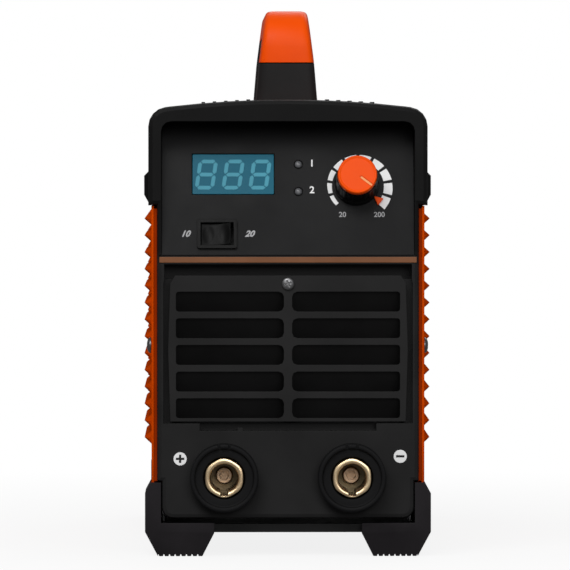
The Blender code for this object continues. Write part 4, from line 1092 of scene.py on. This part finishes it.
def make_rotor():
    """Seven swept blades on a rounded hub."""
    place = at(REAR, 0, FAN_Z)
    hub = rounded(
        [(0, -4 * mm), (18 * mm, -4 * mm, 2.5 * mm), (18 * mm, -24.4 * mm, 0.6 * mm), (0, -24.4 * mm)],
        closed=False,
    )
    meshes = [lathe(hub, 64, place)]
    blades, spans, chords = 7, 8, 6
    for blade in range(blades):
        shape = bmesh.new()
        grid = []
        for i in range(spans + 1):
            radius = (17 + 25 * i / spans) * mm
            sweep = 0.35 * (i / spans) ** 1.5
            row = []
            for j in range(chords + 1):
                chord = j / chords - 0.5
                angle = TAU * blade / blades + sweep + chord * 0.62 * (1 - 0.25 * i / spans)
                height = -14 * mm - chord * (15 - 3 * i / spans) * mm + (chord * chord - 0.25) * 4 * mm
                row.append(shape.verts.new((radius * math.cos(angle), radius * math.sin(angle), height)))
            grid.append(row)
        for i in range(spans):
            for j in range(chords):
                shape.faces.new((grid[i][j], grid[i + 1][j], grid[i + 1][j + 1], grid[i][j + 1]))
        bmesh.ops.recalc_face_normals(shape, faces=shape.faces)
        bmesh.ops.solidify(shape, geom=shape.faces[:], thickness=1.3 * mm)
        meshes.append(to_mesh(shape, place))
    piece("fan_wheel", joined(meshes), SOFT_BLACK, "fan", stands_for=["fan_rotor"])


def make_gland():
    """The cable gland: hexagon base with its stem, and the ribbed dome nut."""
    place = at(REAR, *GLAND_AT)
    ribs = 18

    def ribbed(radius, height, angle):
        if radius < 10 * mm or not 7 * mm < height < 14.5 * mm:
            return radius
        return radius - 0.45 * mm * (0.5 + 0.5 * math.cos(ribs * angle)) ** 3

    nut = in_mm(
        (8.3, 20), (8.9, 19.7), (9.7, 18.6), (10.6, 16), (11.3, 14), (11.4, 13), (11.4, 8),
        (11.4, 7.2), (11.2, 6.3), (6.2, 6.3), (6.2, 19.4), (6.8, 20),
    )
    piece("gland_dome", lathe(nut, 180, place, ribbed), SOFT_BLACK, stands_for=["cable_gland_nut"])
    base = plate([circle(13.6 * mm, 6), circle(7 * mm, 48)], 0.3 * mm, 5.4 * mm, place)
    stem = in_mm((9.7, 6), (9.9, -11), (6.4, -11), (6.4, 6))
    thread = lathe(stem, 64, place)
    both = boolean(base, thread, "UNION")
    piece("gland_base", both, SOFT_BLACK, stands_for=["cable_gland"], soft=0.4 * mm)


def make_earth_screw():
    place = at(REAR, *EARTH_AT)
    profile = rounded(
        [(0, 5.4 * mm), (5.2 * mm, 5.4 * mm, 0.9 * mm), (5.2 * mm, 1.6 * mm), (7 * mm, 1.6 * mm, 0.2 * mm)]
        + [(7 * mm, 0.3 * mm), (2.9 * mm, 0.3 * mm), (2.9 * mm, -10 * mm), (0, -10 * mm)],
        closed=False,
    )
    turned = place @ Matrix.Rotation(0.5, 4, "Z")
    slot = box((-6 * mm, -0.6 * mm, 4.0 * mm), (6 * mm, 0.6 * mm, 8 * mm), turned)
    piece("earth_bolt", boolean(lathe(profile, 48, place), slot), BRASS, stands_for=["earth_screw"])


def make_back():
    dress("fan_frame", SOFT_BLACK, 0.4 * mm)
    make_fan_guard()
    make_rotor()
    make_gland()
    make_earth_screw()


# ---- Inside ----
def make_inside():
    finishes = {
        BOARD_GREEN: ["main_board", "control_board"],
        ALUMINIUM: ["board_rail_left", "board_rail_right", "heatsink_left", "heatsink_right"],
        FERRITE: ["transformer_core", "display_module", "bridge_rectifier"],
        TAPE: ["transformer_winding", "output_choke"],
        COPPER: ["busbar_positive", "busbar_negative"],
        STEEL: ["potentiometer", "potentiometer_shaft", "handle_screw_front", "handle_screw_rear"],
        SMOOTH_BLACK: ["capacitor_1", "capacitor_2", "capacitor_3"],
    }
    for material, nodes in finishes.items():
        for node in nodes:
            dress(node, material)


# ---- Stage ----
def make_floor():
    """A pale floor that glows evenly away from the machine, so that it runs into the white backdrop."""
    pale = (0.9, 0.9, 0.9)
    material = surface("pale_floor", "none", pale, 0.8, grain=4 * mm, relief=0.01 * mm, mottle=0.01)
    tree = material.node_tree
    place = add(tree, "TexCoord").outputs["Object"]
    reach = add(tree, "VectorMath", {"operation": "LENGTH"}, _0=place).outputs["Value"]
    share = remap(tree, reach, 0.86, 1.0, 0.12, 0.5)
    glow = add(tree, "Emission", Color=(1, 1, 1, 1), Strength=1.0)
    mix = add(tree, "MixShader", _0=share)
    tree.links.new(tree.nodes["Principled BSDF"].outputs[0], mix.inputs[1])
    tree.links.new(glow.outputs[0], mix.inputs[2])
    tree.links.new(mix.outputs[0], tree.nodes["Material Output"].inputs["Surface"])
    shape = bmesh.new()
    bmesh.ops.create_circle(shape, cap_ends=True, segments=64, radius=12)
    obj = bpy.data.objects.new("floor", to_mesh(shape))
    bpy.context.scene.collection.objects.link(obj)
    obj.data.materials.append(material)
    obj.visible_diffuse = False
    obj.visible_glossy = False


def area_light(name, place, target, size, power):
    light = bpy.data.lights.new(name, "AREA")
    light.shape = "RECTANGLE"
    light.size, light.size_y = size
    light.energy = power
    obj = bpy.data.objects.new(name, light)
    obj.location = place
    obj.rotation_euler = (Vector(target) - Vector(place)).to_track_quat("-Z", "Y").to_euler()
    bpy.context.scene.collection.objects.link(obj)


def make_lights():
    world = bpy.data.worlds.new("studio")
    world.use_nodes = True
    tree = world.node_tree
    seen = add(tree, "LightPath").outputs["Is Camera Ray"]
    strength = remap(tree, seen, 0.18, 1.0, 0.0, 1.0)
    tree.links.new(strength, tree.nodes["Background"].inputs["Strength"])
    tree.nodes["Background"].inputs["Color"].default_value = (1, 1, 1, 1)
    bpy.context.scene.world = world
    middle = (0, 0, 0.12)
    area_light("key", (-0.55, -1.5, 1.45), middle, (1.3, 0.9), 22)
    area_light("front", (0.5, -2.3, 0.85), middle, (1.4, 0.8), 16)
    area_light("back", (0.3, 1.5, 1.3), middle, (1.4, 0.8), 9)


def make_camera():
    """Nearly head-on, a little to the left of the middle and just above the machine's middle."""
    distance, yaw = 2.6, math.radians(0.7)
    target = Vector((-1.4 * mm, FACE_Y, 125.4 * mm))
    place = target + Vector((-math.sin(yaw) * distance, -math.cos(yaw) * distance, 77 * mm))
    camera = bpy.data.cameras.new("camera")
    camera.sensor_width = 36
    seen = 262.3 * mm  # width of the view at the front face
    camera.lens = camera.sensor_width * (target - place).length / seen
    obj = bpy.data.objects.new("camera", camera)
    obj.location = place
    obj.rotation_euler = (target - place).to_track_quat("-Z", "Y").to_euler()
    bpy.context.scene.collection.objects.link(obj)
    bpy.context.scene.camera = obj
    bpy.context.scene.view_settings.view_transform = "Standard"


make_casing()
make_panels()
make_feet()
make_handle()
make_control_panel()
make_switches()
make_screws()
make_grille()
make_sockets()
make_polarity_marks()
make_back()
make_inside()
make_floor()
make_lights()
make_camera()
